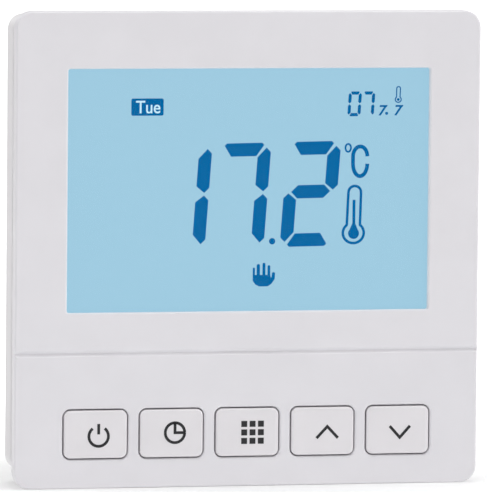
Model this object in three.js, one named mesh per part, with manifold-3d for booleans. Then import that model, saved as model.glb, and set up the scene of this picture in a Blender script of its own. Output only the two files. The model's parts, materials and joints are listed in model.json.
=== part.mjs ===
// Programmable wall timer with a display and five keys, as it is built: a front half that pulls
// straight off a base plate, and behind the plate a housing that goes into a wall box.
//
// Millimetres. X points right, +Y points into the wall, +Z points up. The wall plane is Y = 0, so
// the front half has negative Y and the housing positive Y.
import * as THREE from "three";
import { mergeVertices } from "three/addons/utils/BufferGeometryUtils.js";
import Module from "manifold-3d";

const wasm = await Module();
wasm.setup();

// ---------------------------------------------------------------- driving dimensions

// Front cover: a square face with a short skirt, and a narrower neck behind it.
const FACE = 86;
const FACE_CORNER = 3;
const FACE_EDGE = 0.35;
const FRONT_Y = -13.3;
const SKIRT_BACK_Y = -10.7;
const FACE_WALL = 2;
const NECK_INSET = 1.6;
const NECK_BOTTOM_INSET = 3;
const NECK_CORNER = 2.2;
const NECK_WALL = 1.6;
const NECK_BACK_Y = -5.3;

// Air slots through the neck's top and bottom walls.
const NECK_VENTS = { count: 7, pitch: 8, width: 4.5, depths: [-9.4, -7.6] };

// Hooks behind the neck's side walls: a straight leg with a barb at its tip.
const HOOK = { z: 22, halfLength: 4, innerX: 39.2, legX: 40.1, barbX: 40.2, tipX: 39.9 };
const HOOK_Y = { root: -7, legEnd: -3.9, barb: -3.6, tip: -2.9 };

// Base plate: a shallow tray, inset a little more at the bottom than at the other sides.
const BASE_INSET = 0.9;
const BASE_BOTTOM_INSET = 2.3;
const BASE_CORNER = 2.8;
const BASE_EDGE = 0.4;
const BASE_FRONT_Y = -4.9;
const BASE_FLOOR = 2;
const BASE_RIM = 1.8;
const FIXING_PITCH = 60;
const SLOT_WIDTH = 4.2;
const SLOT_LENGTH = 8.2;
const HOOK_POCKET = { clearance: 0.5, depth: 0.6, depths: [-4.2, -3] };

// Display window and the stack of flat layers behind it.
const WINDOW = { width: 67.2, height: 44.2, centreZ: 10.8, corner: 0.4 };
const LENS_MARGIN = 1.5;
const LENS_POCKET_GAP = 0.2;
const LENS_LIP = 0.9;
const LAYER_GAP = 0.1;
const LAYERS = { lens: 1, cell: 2, diffuser: 0.2, guide: 1.5, reflector: 0.2, board: 1.2 };
const CELL = { halfWidth: 35.25, bottomZ: -16, topZ: 34.6, rearBottomZ: -12.9 };
const GUIDE = { halfWidth: 33.6, bottomZ: -12.4, topZ: 34.4 };
const HOLDER_WALL = 1.2;
const HOLDER_GAP = 0.2;
const ZEBRA = { halfWidth: 32, bottomZ: -15.6, topZ: -13.2 };
const BACKLIGHT = { gap: 0.2, width: 1.2, height: 3.5 };

// Groove across the face, and the row of keys below it.
const GROOVE = { z: -18.6, width: 1, depth: 0.5 };
const KEYS = ["power", "clock", "menu", "up", "down"];
const KEY_PITCH = 14.05;
const KEY_ROW_Z = -33.25;
const KEY_OPENING = { width: 12.05, height: 9.1, corner: 1.4 };
const KEY_GAP = 0.3;
const KEY_PROUD = 0.15;
const KEY_FLANGE = { width: 12.9, height: 9.7, corner: 1.4, frontY: -11.1, backY: -10.3 };
const SWITCH = { side: 6, frontY: -8.75, boreRadius: 1.75, boreDepth: 1.15 };
const PLUNGER = { radius: 1.5, frontY: -9.9, backY: -8.2 };
const KEY_STUB_RADIUS = 2;
const KEY_EDGE = 0.3;

// Display board, its screws and the pin header that plugs into the base.
const BOARD = { halfWidth: 39, bottomZ: -37.6, topZ: 39, corner: 1 };
const BOARD_SCREWS = [[-34, 38.08], [34, 38.08], [-37.2, -23], [37.2, -23]];
const BOSS_RADIUS = 1.8;
const PILOT_FLOOR = 0.8;
const SCREW = { head: 1.6, headHeight: 1.1, shank: 0.8, hole: 1.1, pilot: 0.95 };
const HEADER = { z: 14, pins: 4, rows: 2, pitch: 2.54, pin: 0.64, pinBackY: 3.6, frontY: -3.2 };
const HEADER_BODY = { width: 10.16, height: 5.08 };
const SOCKET = { width: 10.7, height: 5.6, frontY: -3, backY: 4.6, hole: 1, holeBackY: 4.1 };

// Parts on the back of the display board: their middles in X and Z, and their sizes.
const CHIP = { at: [-20, 6], side: 10, corner: 0.3, height: 1.4, edge: 0.2 };
const CRYSTAL = { at: [-20, -6], radius: 1, length: 6, axisHeight: 1.05 };
const BACKUP_CELL = { at: [14, -8], radius: 6.25, height: 2, floorGap: 0.2 };
const CELL_CLIP = { sheet: 0.4, gap: 0.25, foot: 1.6, roof: 0.2, halfWidth: 2.5 };
const AIR_SENSOR = { at: [34, -35], bead: 1.1, height: 1.9, leadX: 0.5, lead: 0.25 };

// Housing in the wall box, the power board and the terminal block.
const HOUSING = { half: 25, chamfer: 8, backY: 26.5, wall: 1.6, flangeHalf: 26.5 };
const HOUSING_FLANGE_Y = [-3.3, -2.1];
const HOUSING_GAP = 0.3;
const HOUSING_SCREW_AT = 23.9;
const LEDGE_Y = 6.4;
const LEDGE = 0.8;
const POWER_BOARD = { half: 23.1, chamfer: 7.2, frontY: 4.7, backY: 6.3 };
const HOUSING_VENTS = { count: 5, pitch: 4, width: 1.5, raise: 3, depths: [9, 22] };
const HOUSING_SCREW_HEAD = 2;

// Parts on the power board: outlines in X and Z, and heights above the board.
const RELAY = { outline: [-19.5, -0.5, 2.5, 18], height: 15.3 };
const FILM_CAPACITOR = { outline: [-20, -7, -5, 0], height: 11 };
const CASE = { corner: 0.6, edge: 0.4 };
const TRANSFORMER = {
  foot: { xs: [4, 19], rise: [0, 2.4], zs: [3.5, 17.5] },
  core: { xs: [5, 18], rise: [2, 11], zs: [8, 13] },
  top: { xs: [6, 17], rise: [10, 11.5], zs: [4.5, 16.5] },
  coil: { radius: 5, at: [11.5, 10.5], rise: [1, 10.5] },
};
const ELECTROLYTIC = { at: [0, -5.5], radius: 4, waist: 3.7, foot: 1.2, waistTop: 1.4, height: 12 };
const VARISTOR = { at: [8, -5.5], radius: 3.5, thickness: 3.4, height: 4.6, leadSpread: 2.5, lead: 0.35 };
const FUSE = { at: [16.5, -5.5], radius: 1.6, cap: 1.8, length: 7, capLength: 1.6, height: 2 };
const POLES = 4;
const POLE_PITCH = 7.62;
const TERMINAL = { bottomZ: -24.4, topZ: -14.9, frontY: 6.4, backY: 17.4, screwZ: -19.3 };
const RECESS = { halfWidth: 15.6, topZ: -14.6 };
const CLAMP = { halfWidth: 2.5, bottomZ: -22, topZ: -16.6, frontY: 8.2, backY: 12.8, wall: 0.8 };
const TERMINAL_SCREW = { head: 2, headY: [15.2, 16.6], shank: 1.4, endY: 10.7 };
const TERMINAL_LEDGE = [14.3, 15.1];
const CHAMBER_GAP = { side: 0.2, front: 0.2, end: 0.4 };
const WIRE_ENTRY = { halfWidth: 1.9, depths: [8.9, 12.3] };

// Finishes: colour, roughness and metalness of each material.
const FINISH = {
  whitePlastic: { color: 0xe4e2e4, roughness: 0.45, metalness: 0 },
  clearPlastic: { color: 0xdfeef4, roughness: 0.08, metalness: 0 },
  displayGlass: { color: 0x9fcbe0, roughness: 0.2, metalness: 0 },
  opalSheet: { color: 0xf2f4f4, roughness: 0.5, metalness: 0 },
  greyRubber: { color: 0x4a4c50, roughness: 0.8, metalness: 0 },
  circuitBoard: { color: 0x1f6b45, roughness: 0.5, metalness: 0 },
  blackPlastic: { color: 0x1c1c1e, roughness: 0.5, metalness: 0 },
  bluePlastic: { color: 0x2f6fb0, roughness: 0.45, metalness: 0 },
  redPlastic: { color: 0xa83a2a, roughness: 0.5, metalness: 0 },
  greenPlastic: { color: 0x3e8f57, roughness: 0.45, metalness: 0 },
  yellowPlastic: { color: 0xd9b23c, roughness: 0.45, metalness: 0 },
  steel: { color: 0xb9bcc0, roughness: 0.3, metalness: 1 },
  brass: { color: 0xc8a860, roughness: 0.35, metalness: 1 },
};

// ---------------------------------------------------------------- layer positions

const LENS_Y = FRONT_Y + LENS_LIP + LAYER_GAP;
const CELL_Y = LENS_Y + LAYERS.lens + LAYER_GAP;
const DIFFUSER_Y = CELL_Y + LAYERS.cell + LAYER_GAP;
const GUIDE_Y = DIFFUSER_Y + LAYERS.diffuser + LAYER_GAP;
const REFLECTOR_Y = GUIDE_Y + LAYERS.guide + LAYER_GAP;
const BOARD_Y = REFLECTOR_Y + LAYERS.reflector + LAYER_GAP;
const BOARD_BACK_Y = BOARD_Y + LAYERS.board;
const ON_BOARD_FRONT_Y = BOARD_Y - LAYER_GAP;
const ON_BOARD_BACK_Y = BOARD_BACK_Y + LAYER_GAP;
const FACE_BACK_Y = FRONT_Y + FACE_WALL;
const ON_POWER_BOARD_Y = POWER_BOARD.backY + LAYER_GAP;

// ---------------------------------------------------------------- shape helpers

// A cutting tool reaches this far past the surface it cuts.
const OVERSHOOT = 1;
const ARC_STEPS = 3;

function solidFrom(geometry) {
  geometry.deleteAttribute("normal");
  geometry.deleteAttribute("uv");
  const merged = mergeVertices(geometry, 1e-4);
  const mesh = new wasm.Mesh({
    numProp: 3,
    vertProperties: merged.attributes.position.array,
    triVerts: new Uint32Array(merged.index.array),
  });
  return new wasm.Manifold(mesh);
}

function cut(solid, tools) {
  return tools.reduce((left, tool) => left.subtract(tool), solid);
}

function join(solids) {
  return solids.reduce((whole, solid) => whole.add(solid));
}

function box(xs, ys, zs) {
  const geometry = new THREE.BoxGeometry(xs[1] - xs[0], ys[1] - ys[0], zs[1] - zs[0]);
  geometry.translate((xs[0] + xs[1]) / 2, (ys[0] + ys[1]) / 2, (zs[0] + zs[1]) / 2);
  return solidFrom(geometry);
}

// A round rod along Y between two depths.
function rodY(radius, x, z, ys, sides = 16) {
  const geometry = new THREE.CylinderGeometry(radius, radius, ys[1] - ys[0], sides);
  geometry.translate(x, (ys[0] + ys[1]) / 2, z);
  return solidFrom(geometry);
}

// A round rod along X, centred on the given point.
function rodX(radius, length, centre, sides = 16) {
  const geometry = new THREE.CylinderGeometry(radius, radius, length, sides);
  geometry.rotateZ(Math.PI / 2);
  geometry.translate(centre[0], centre[1], centre[2]);
  return solidFrom(geometry);
}

// A flat outline in X and Z made thick along Y, with an optional rounded edge on both faces.
function plate(outline, ys, edge = 0) {
  const geometry = new THREE.ExtrudeGeometry(outline, {
    depth: ys[1] - ys[0] - 2 * edge,
    curveSegments: ARC_STEPS,
    bevelEnabled: edge > 0,
    bevelThickness: edge,
    bevelSize: edge,
    bevelOffset: -edge,
    bevelSegments: 2,
  });
  geometry.rotateX(Math.PI / 2);
  geometry.translate(0, ys[1] - edge, 0);
  return solidFrom(geometry);
}

function roundedOutline(left, right, bottom, top, radius) {
  const shape = new THREE.Shape();
  shape.absarc(left + radius, bottom + radius, radius, Math.PI, 1.5 * Math.PI);
  shape.absarc(right - radius, bottom + radius, radius, 1.5 * Math.PI, 2 * Math.PI);
  shape.absarc(right - radius, top - radius, radius, 0, Math.PI / 2);
  shape.absarc(left + radius, top - radius, radius, Math.PI / 2, Math.PI);
  shape.closePath();
  return shape;
}

function centredOutline(width, height, centreZ, radius) {
  const [halfWidth, halfHeight] = [width / 2, height / 2];
  return roundedOutline(-halfWidth, halfWidth, centreZ - halfHeight, centreZ + halfHeight, radius);
}

function polygon(points) {
  return new THREE.Shape(points.map(([u, v]) => new THREE.Vector2(u, v)));
}

// A square with its four corners cut off.
function chamferedSquare(half, chamfer) {
  const near = half - chamfer;
  return polygon([
    [near, -half], [half, -near], [half, near], [near, half],
    [-near, half], [-half, near], [-half, -near], [-near, -half],
  ]);
}

// A section in X and Y made long along Z.
function barZ(points, zs) {
  const geometry = new THREE.ExtrudeGeometry(polygon(points), {
    depth: zs[1] - zs[0],
    bevelEnabled: false,
  });
  geometry.translate(0, 0, zs[0]);
  return solidFrom(geometry);
}

function piece(name, solid, finish) {
  const { vertProperties, triVerts } = solid.getMesh();
  const geometry = new THREE.BufferGeometry();
  geometry.setAttribute("position", new THREE.BufferAttribute(vertProperties, 3));
  geometry.setIndex(new THREE.BufferAttribute(triVerts, 1));
  geometry.computeVertexNormals();
  const mesh = new THREE.Mesh(geometry, new THREE.MeshStandardMaterial(finish));
  mesh.name = name;
  return mesh;
}

function keyX(index) {
  return (index - (KEYS.length - 1) / 2) * KEY_PITCH;
}

function poleX(index) {
  return (index - (POLES - 1) / 2) * POLE_PITCH;
}

// The cross slot in the head of a screw around the Y axis.
function crossSlot(ys, reach, width) {
  const [along, across] = [[-reach, reach], [-width / 2, width / 2]];
  return [box(along, ys, across), box(across, ys, along)];
}

// ---------------------------------------------------------------- front half

function neckOutline(shrink, radius) {
  const half = FACE / 2;
  const side = half - NECK_INSET - shrink;
  return roundedOutline(-side, side, -half + NECK_BOTTOM_INSET + shrink, side, radius);
}

// Slots through the top and bottom walls of the neck, which let room air reach the sensor.
function neckVents() {
  const { count, pitch, width, depths } = NECK_VENTS;
  const reach = NECK_WALL + LAYER_GAP;
  const bottomWall = [-FACE / 2, -FACE / 2 + NECK_BOTTOM_INSET + reach];
  const topWall = [FACE / 2 - NECK_INSET - reach, FACE / 2];
  const vents = [];
  for (let i = 0; i < count; i += 1) {
    const x = (i - (count - 1) / 2) * pitch;
    const across = [x - width / 2, x + width / 2];
    vents.push(box(across, depths, bottomWall), box(across, depths, topWall));
  }
  return vents;
}

// Four hooks behind the neck's side walls, which snap into pockets of the base plate's rim.
function snapHooks() {
  const { innerX, legX, barbX, tipX, halfLength } = HOOK;
  const { root, legEnd, barb, tip } = HOOK_Y;
  const section = [
    [innerX, root], [legX, root], [legX, legEnd], [barbX, barb], [tipX, tip], [innerX, tip],
  ];
  const hooks = [];
  for (const side of [-1, 1]) {
    const points = section.map(([x, y]) => [side * x, y]);
    if (side < 0) points.reverse();
    for (const z of [-HOOK.z, HOOK.z]) {
      hooks.push(barZ(points, [z - halfLength, z + halfLength]));
    }
  }
  return hooks;
}

function keyOpening(index) {
  const { width, height, corner } = KEY_OPENING;
  const left = keyX(index) - width / 2;
  const bottom = KEY_ROW_Z - height / 2;
  const outline = roundedOutline(left, left + width, bottom, bottom + height, corner);
  return plate(outline, [FRONT_Y - OVERSHOOT, FACE_BACK_Y + 0.1]);
}

// The V-shaped groove right across the face.
function faceGroove() {
  const halfWidth = GROOVE.width / 2;
  const mouthY = FRONT_Y - 0.01;
  const section = [
    [FRONT_Y + GROOVE.depth, GROOVE.z], [mouthY, GROOVE.z - halfWidth], [mouthY, GROOVE.z + halfWidth],
  ];
  const depth = FACE + 2 * OVERSHOOT;
  const groove = new THREE.ExtrudeGeometry(polygon(section), { depth, bevelEnabled: false });
  groove.rotateY(Math.PI / 2);
  groove.rotateX(Math.PI / 2);
  groove.translate(-depth / 2, 0, 0);
  return solidFrom(groove);
}

function makeFrontCover() {
  const faceOutline = centredOutline(FACE, FACE, 0, FACE_CORNER);
  const skirt = plate(faceOutline, [FRONT_Y, SKIRT_BACK_Y], FACE_EDGE);
  const neck = plate(neckOutline(0, NECK_CORNER), [SKIRT_BACK_Y - OVERSHOOT, NECK_BACK_Y]);
  const hollow = plate(neckOutline(NECK_WALL, 0.8), [FACE_BACK_Y, NECK_BACK_Y + OVERSHOOT]);
  const bossDepths = [FACE_BACK_Y - 0.5, ON_BOARD_FRONT_Y];
  const bosses = BOARD_SCREWS.map(([x, z]) => rodY(BOSS_RADIUS, x, z, bossDepths));
  const pilotDepths = [FACE_BACK_Y + PILOT_FLOOR, BOARD_Y];
  const pilots = BOARD_SCREWS.map(([x, z]) => rodY(SCREW.pilot, x, z, pilotDepths));

  const { width, height, centreZ, corner } = WINDOW;
  const windowOutline = centredOutline(width, height, centreZ, corner);
  const window = plate(windowOutline, [FRONT_Y - OVERSHOOT, FACE_BACK_Y]);
  const grow = 2 * (LENS_MARGIN + LENS_POCKET_GAP);
  const pocketOutline = centredOutline(width + grow, height + grow, centreZ, 0.8);
  const pocket = plate(pocketOutline, [FRONT_Y + LENS_LIP, FACE_BACK_Y + 0.1]);
  const shell = cut(join([skirt, neck]), [hollow, pocket, window]);

  const openings = KEYS.map((key, i) => keyOpening(i));
  return cut(join([shell, ...bosses, ...snapHooks()]), [
    ...pilots, ...openings, ...neckVents(), faceGroove(),
  ]);
}

function makeLens() {
  const { width, height, centreZ } = WINDOW;
  const outline = centredOutline(width + 2 * LENS_MARGIN, height + 2 * LENS_MARGIN, centreZ, 0.6);
  return plate(outline, [LENS_Y, LENS_Y + LAYERS.lens]);
}

// Two sheets of glass; the front one is longer at the bottom, where its contacts are.
function makeCell() {
  const across = [-CELL.halfWidth, CELL.halfWidth];
  const middle = CELL_Y + LAYERS.cell / 2;
  const frontGlass = box(across, [CELL_Y, middle], [CELL.bottomZ, CELL.topZ]);
  const rearGlass = box(across, [middle - 0.1, CELL_Y + LAYERS.cell], [CELL.rearBottomZ, CELL.topZ]);
  return join([frontGlass, rearGlass]);
}

function makeGuideSheet(frontY, thickness) {
  const across = [-GUIDE.halfWidth, GUIDE.halfWidth];
  return box(across, [frontY, frontY + thickness], [GUIDE.bottomZ, GUIDE.topZ]);
}

function makeHolder() {
  const inner = CELL.halfWidth + HOLDER_GAP;
  const outer = inner + HOLDER_WALL;
  const low = CELL.bottomZ - HOLDER_GAP;
  const high = CELL.topZ + HOLDER_GAP;
  const depths = [CELL_Y, ON_BOARD_FRONT_Y];
  const block = box([-outer, outer], depths, [low - HOLDER_WALL, high + HOLDER_WALL]);
  const hole = box([-inner, inner], [depths[0] - OVERSHOOT, depths[1] + OVERSHOOT], [low, high]);
  return cut(block, [hole]);
}

function makeZebraStrip() {
  const depths = [CELL_Y + LAYERS.cell / 2 + LAYER_GAP, ON_BOARD_FRONT_Y];
  return box([-ZEBRA.halfWidth, ZEBRA.halfWidth], depths, [ZEBRA.bottomZ, ZEBRA.topZ]);
}

function makeBacklight(side) {
  const { gap, width, height } = BACKLIGHT;
  const nearX = GUIDE.halfWidth + gap;
  const xs = [nearX * side, (nearX + width) * side].sort((a, b) => a - b);
  const zs = [WINDOW.centreZ - height / 2, WINDOW.centreZ + height / 2];
  return box(xs, [GUIDE_Y + LAYER_GAP, ON_BOARD_FRONT_Y], zs);
}

function makeDisplayBoard() {
  const { halfWidth, bottomZ, topZ, corner } = BOARD;
  const outline = roundedOutline(-halfWidth, halfWidth, bottomZ, topZ, corner);
  const sheet = plate(outline, [BOARD_Y, BOARD_BACK_Y]);
  const depths = [BOARD_Y - OVERSHOOT, BOARD_BACK_Y + OVERSHOOT];
  return cut(sheet, BOARD_SCREWS.map(([x, z]) => rodY(SCREW.hole, x, z, depths)));
}

// A pan-head screw driven from behind, along -Y, around the Y axis.
function makeBoardScrew() {
  const head = rodY(SCREW.head, 0, 0, [ON_BOARD_BACK_Y, ON_BOARD_BACK_Y + SCREW.headHeight]);
  const shank = rodY(SCREW.shank, 0, 0, [FACE_BACK_Y + 1, ON_BOARD_BACK_Y + 0.2]);
  const topY = ON_BOARD_BACK_Y + SCREW.headHeight;
  return cut(join([head, shank]), crossSlot([topY - 0.5, topY + 0.5], 1.1, 0.45));
}

// One key around the Y axis: a cap that fills the opening, a flange that keeps it in, and a stub.
function makeKey() {
  const cap = { width: KEY_OPENING.width - 2 * KEY_GAP, height: KEY_OPENING.height - 2 * KEY_GAP };
  const capOutline = centredOutline(cap.width, cap.height, 0, KEY_OPENING.corner - KEY_GAP);
  const capSolid = plate(capOutline, [FRONT_Y - KEY_PROUD, KEY_FLANGE.backY - 0.2], KEY_EDGE);
  const flangeOutline = centredOutline(KEY_FLANGE.width, KEY_FLANGE.height, 0, KEY_FLANGE.corner);
  const flange = plate(flangeOutline, [KEY_FLANGE.frontY, KEY_FLANGE.backY]);
  const stub = rodY(KEY_STUB_RADIUS, 0, 0, [KEY_FLANGE.backY - 0.2, PLUNGER.frontY - LAYER_GAP]);
  return join([capSolid, flange, stub]);
}

function makeSwitch() {
  const half = SWITCH.side / 2;
  const body = box([-half, half], [SWITCH.frontY, ON_BOARD_FRONT_Y], [-half, half]);
  const boreDepths = [SWITCH.frontY - OVERSHOOT, SWITCH.frontY + SWITCH.boreDepth];
  const bore = rodY(SWITCH.boreRadius, 0, 0, boreDepths);
  return cut(body, [bore]);
}

function makePlunger() {
  return rodY(PLUNGER.radius, 0, 0, [PLUNGER.frontY, PLUNGER.backY]);
}

function makeMicrocontroller() {
  const { side, corner, height, edge } = CHIP;
  const outline = centredOutline(side, side, 0, corner);
  return plate(outline, [ON_BOARD_BACK_Y, ON_BOARD_BACK_Y + height], edge);
}

function makeCrystal() {
  const { radius, length, axisHeight } = CRYSTAL;
  return rodX(radius, length, [0, ON_BOARD_BACK_Y + axisHeight, 0], 12);
}

// The backup cell lies flat on the board under a hat-shaped clip.
function makeBackupCell() {
  const frontY = ON_BOARD_BACK_Y + BACKUP_CELL.floorGap;
  return rodY(BACKUP_CELL.radius, 0, 0, [frontY, frontY + BACKUP_CELL.height], 32);
}

function makeCellClip() {
  const { sheet, gap, roof, halfWidth } = CELL_CLIP;
  const inner = BACKUP_CELL.radius + gap;
  const outer = inner + sheet;
  const foot = outer + CELL_CLIP.foot;
  const floorY = ON_BOARD_BACK_Y;
  const underside = floorY + BACKUP_CELL.floorGap + BACKUP_CELL.height + roof;
  const top = underside + sheet;
  const points = [
    [-foot, floorY], [-inner, floorY], [-inner, underside], [inner, underside],
    [inner, floorY], [foot, floorY], [foot, floorY + sheet], [outer, floorY + sheet],
    [outer, top], [-outer, top], [-outer, floorY + sheet], [-foot, floorY + sheet],
  ];
  return barZ(points, [-halfWidth, halfWidth]);
}

// A sensing bead on two short leads, near the vents at the bottom.
function makeAirSensor() {
  const { bead, height, leadX, lead } = AIR_SENSOR;
  const ball = new THREE.SphereGeometry(bead, 12, 8);
  ball.translate(0, ON_BOARD_BACK_Y + height, 0);
  const leadDepths = [ON_BOARD_BACK_Y, ON_BOARD_BACK_Y + height - LAYER_GAP];
  const leads = [-leadX, leadX].map((x) => rodY(lead, x, 0, leadDepths, 8));
  return join([solidFrom(ball), ...leads]);
}

function pinPlaces() {
  const places = [];
  for (let column = 0; column < HEADER.pins; column += 1) {
    for (let row = 0; row < HEADER.rows; row += 1) {
      const x = (column - (HEADER.pins - 1) / 2) * HEADER.pitch;
      places.push([x, HEADER.z + (row - (HEADER.rows - 1) / 2) * HEADER.pitch]);
    }
  }
  return places;
}

function squareRods(width, ys) {
  const half = width / 2;
  return pinPlaces().map(([x, z]) => box([x - half, x + half], ys, [z - half, z + half]));
}

function makeHeader() {
  const { width, height } = HEADER_BODY;
  const zs = [HEADER.z - height / 2, HEADER.z + height / 2];
  const body = box([-width / 2, width / 2], [ON_BOARD_BACK_Y, HEADER.frontY], zs);
  return join([body, ...squareRods(HEADER.pin, [HEADER.frontY - 0.5, HEADER.pinBackY])]);
}

// ---------------------------------------------------------------- base

function baseOutline(shrink, radius) {
  const side = FACE / 2 - BASE_INSET - shrink;
  return roundedOutline(-side, side, -FACE / 2 + BASE_BOTTOM_INSET + shrink, side, radius);
}

function slotTool(x) {
  const half = [SLOT_WIDTH / 2, SLOT_LENGTH / 2];
  const outline = roundedOutline(x - half[0], x + half[0], -half[1], half[1], half[0]);
  return plate(outline, [BASE_FRONT_Y - OVERSHOOT, OVERSHOOT]);
}

function housingScrewPlaces() {
  const at = HOUSING_SCREW_AT;
  return [[-at, at], [at, at], [-at, -at], [at, -at]];
}

function makeBasePlate() {
  const block = plate(baseOutline(0, BASE_CORNER), [BASE_FRONT_Y, 0], BASE_EDGE);
  const tray = plate(baseOutline(BASE_RIM, 1), [BASE_FRONT_Y - OVERSHOOT, -BASE_FLOOR]);
  const half = HOUSING.half + HOUSING_GAP;
  const chamfer = HOUSING.chamfer + (2 - Math.SQRT2) * HOUSING_GAP;
  const opening = plate(chamferedSquare(half, chamfer), [BASE_FRONT_Y, OVERSHOOT]);
  const slots = [-FIXING_PITCH / 2, FIXING_PITCH / 2].map(slotTool);
  const pilots = housingScrewPlaces().map(([x, z]) => {
    return rodY(SCREW.pilot, x, z, [-BASE_FLOOR - OVERSHOOT, OVERSHOOT]);
  });
  const rimInside = FACE / 2 - BASE_INSET - BASE_RIM;
  const { clearance, depth, depths } = HOOK_POCKET;
  const pockets = [];
  for (const z of [-HOOK.z, HOOK.z]) {
    const reach = HOOK.halfLength + clearance;
    const zs = [z - reach, z + reach];
    pockets.push(box([rimInside - 0.1, rimInside + depth], depths, zs));
    pockets.push(box([-rimInside - depth, -rimInside + 0.1], depths, zs));
  }
  return cut(block, [tray, opening, ...slots, ...pilots, ...pockets]);
}

// Cooling slots through both side walls and the top wall of the housing.
function housingVents() {
  const { half, wall } = HOUSING;
  const { count, pitch, width, raise, depths } = HOUSING_VENTS;
  const through = [half - wall - LEDGE - 0.2, half + OVERSHOOT];
  const vents = [];
  for (let i = 0; i < count; i += 1) {
    const at = (i - (count - 1) / 2) * pitch;
    const across = [at - width / 2, at + width / 2];
    const raised = across.map((z) => z + raise);
    vents.push(box(through, depths, raised));
    vents.push(box([-through[1], -through[0]], depths, raised));
    vents.push(box(across, depths, through));
  }
  return vents;
}

function makeRearHousing() {
  const { half, chamfer, wall, backY, flangeHalf } = HOUSING;
  const body = plate(chamferedSquare(half, chamfer), [HOUSING_FLANGE_Y[0], backY]);
  const flange = plate(centredOutline(2 * flangeHalf, 2 * flangeHalf, 0, 1), HOUSING_FLANGE_Y);
  const mouthDepths = [HOUSING_FLANGE_Y[0] - OVERSHOOT, LEDGE_Y];
  const mouth = plate(chamferedSquare(half - wall, chamfer - 0.7), mouthDepths);
  const inner = half - wall - LEDGE;
  const chamber = plate(chamferedSquare(inner, chamfer - 1), [LEDGE_Y - 0.1, backY - wall]);
  const partition = wall + RECESS.halfWidth;
  const kept = box([-partition, partition], [LEDGE_Y, backY], [-half, RECESS.topZ + wall]);
  const recessWidth = [-RECESS.halfWidth, RECESS.halfWidth];
  const recessDepths = [LEDGE_Y - 0.1, backY + OVERSHOOT];
  const recess = box(recessWidth, recessDepths, [-half - OVERSHOOT, RECESS.topZ]);
  const holeDepths = [HOUSING_FLANGE_Y[0] - OVERSHOOT, HOUSING_FLANGE_Y[1] + OVERSHOOT];
  const screwHoles = housingScrewPlaces().map(([x, z]) => rodY(SCREW.hole, x, z, holeDepths));
  const cavity = join([mouth, cut(chamber, [kept])]);
  return cut(join([body, flange]), [cavity, recess, ...screwHoles, ...housingVents()]);
}

// A pan-head screw driven from the front, around the Y axis.
function makeHousingScrew() {
  const seatY = HOUSING_FLANGE_Y[0] - LAYER_GAP;
  const topY = seatY - SCREW.headHeight;
  const head = rodY(HOUSING_SCREW_HEAD, 0, 0, [topY, seatY]);
  const shank = rodY(SCREW.shank, 0, 0, [seatY - 0.2, -0.3]);
  return cut(join([head, shank]), crossSlot([topY - 0.5, topY + 0.5], 1.2, 0.5));
}

function makePowerBoard() {
  const { half, chamfer, frontY, backY } = POWER_BOARD;
  return plate(chamferedSquare(half, chamfer), [frontY, backY]);
}

function makeSocket() {
  const { width, height, frontY, hole, holeBackY } = SOCKET;
  const zs = [HEADER.z - height / 2, HEADER.z + height / 2];
  const body = box([-width / 2, width / 2], [frontY, SOCKET.backY], zs);
  return cut(body, squareRods(hole, [frontY - OVERSHOOT, holeBackY]));
}

// Turns heights above the power board into depths.
function abovePowerBoard(low, high) {
  return [ON_POWER_BOARD_Y + low, ON_POWER_BOARD_Y + high];
}

function makeCase({ outline, height }) {
  return plate(roundedOutline(...outline, CASE.corner), abovePowerBoard(0, height), CASE.edge);
}

// A wound coil between the two legs of its core.
function makeTransformer() {
  const { foot, core, top, coil } = TRANSFORMER;
  const blocks = [core, foot, top].map(({ xs, rise, zs }) => box(xs, abovePowerBoard(...rise), zs));
  const winding = rodY(coil.radius, ...coil.at, abovePowerBoard(...coil.rise), 24);
  return join([...blocks, winding]);
}

function makeSmoothingCapacitor() {
  const { at, radius, waist, foot, waistTop, height } = ELECTROLYTIC;
  const can = rodY(radius, ...at, abovePowerBoard(waistTop, height), 24);
  const neck = rodY(waist, ...at, abovePowerBoard(foot - 0.2, waistTop + 0.2), 24);
  const bung = rodY(radius, ...at, abovePowerBoard(0, foot), 24);
  return join([can, neck, bung]);
}

function makeVaristor() {
  const { at: [x, z], radius, thickness, height, leadSpread, lead } = VARISTOR;
  const disc = rodX(radius, thickness, [x, ON_POWER_BOARD_Y + height, z], 20);
  const leads = [-leadSpread, leadSpread].map((side) => {
    return rodY(lead, x, z + side, abovePowerBoard(0, 4), 8);
  });
  return join([disc, ...leads]);
}

function makeFuse() {
  const { at: [x, z], radius, cap, length, capLength, height } = FUSE;
  const axisY = ON_POWER_BOARD_Y + height;
  const barrel = rodX(radius, length, [x, axisY, z]);
  const reach = (length - 0.2) / 2;
  const ends = [-reach, reach].map((side) => rodX(cap, capLength, [x + side, axisY, z]));
  return join([barrel, ...ends]);
}

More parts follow.
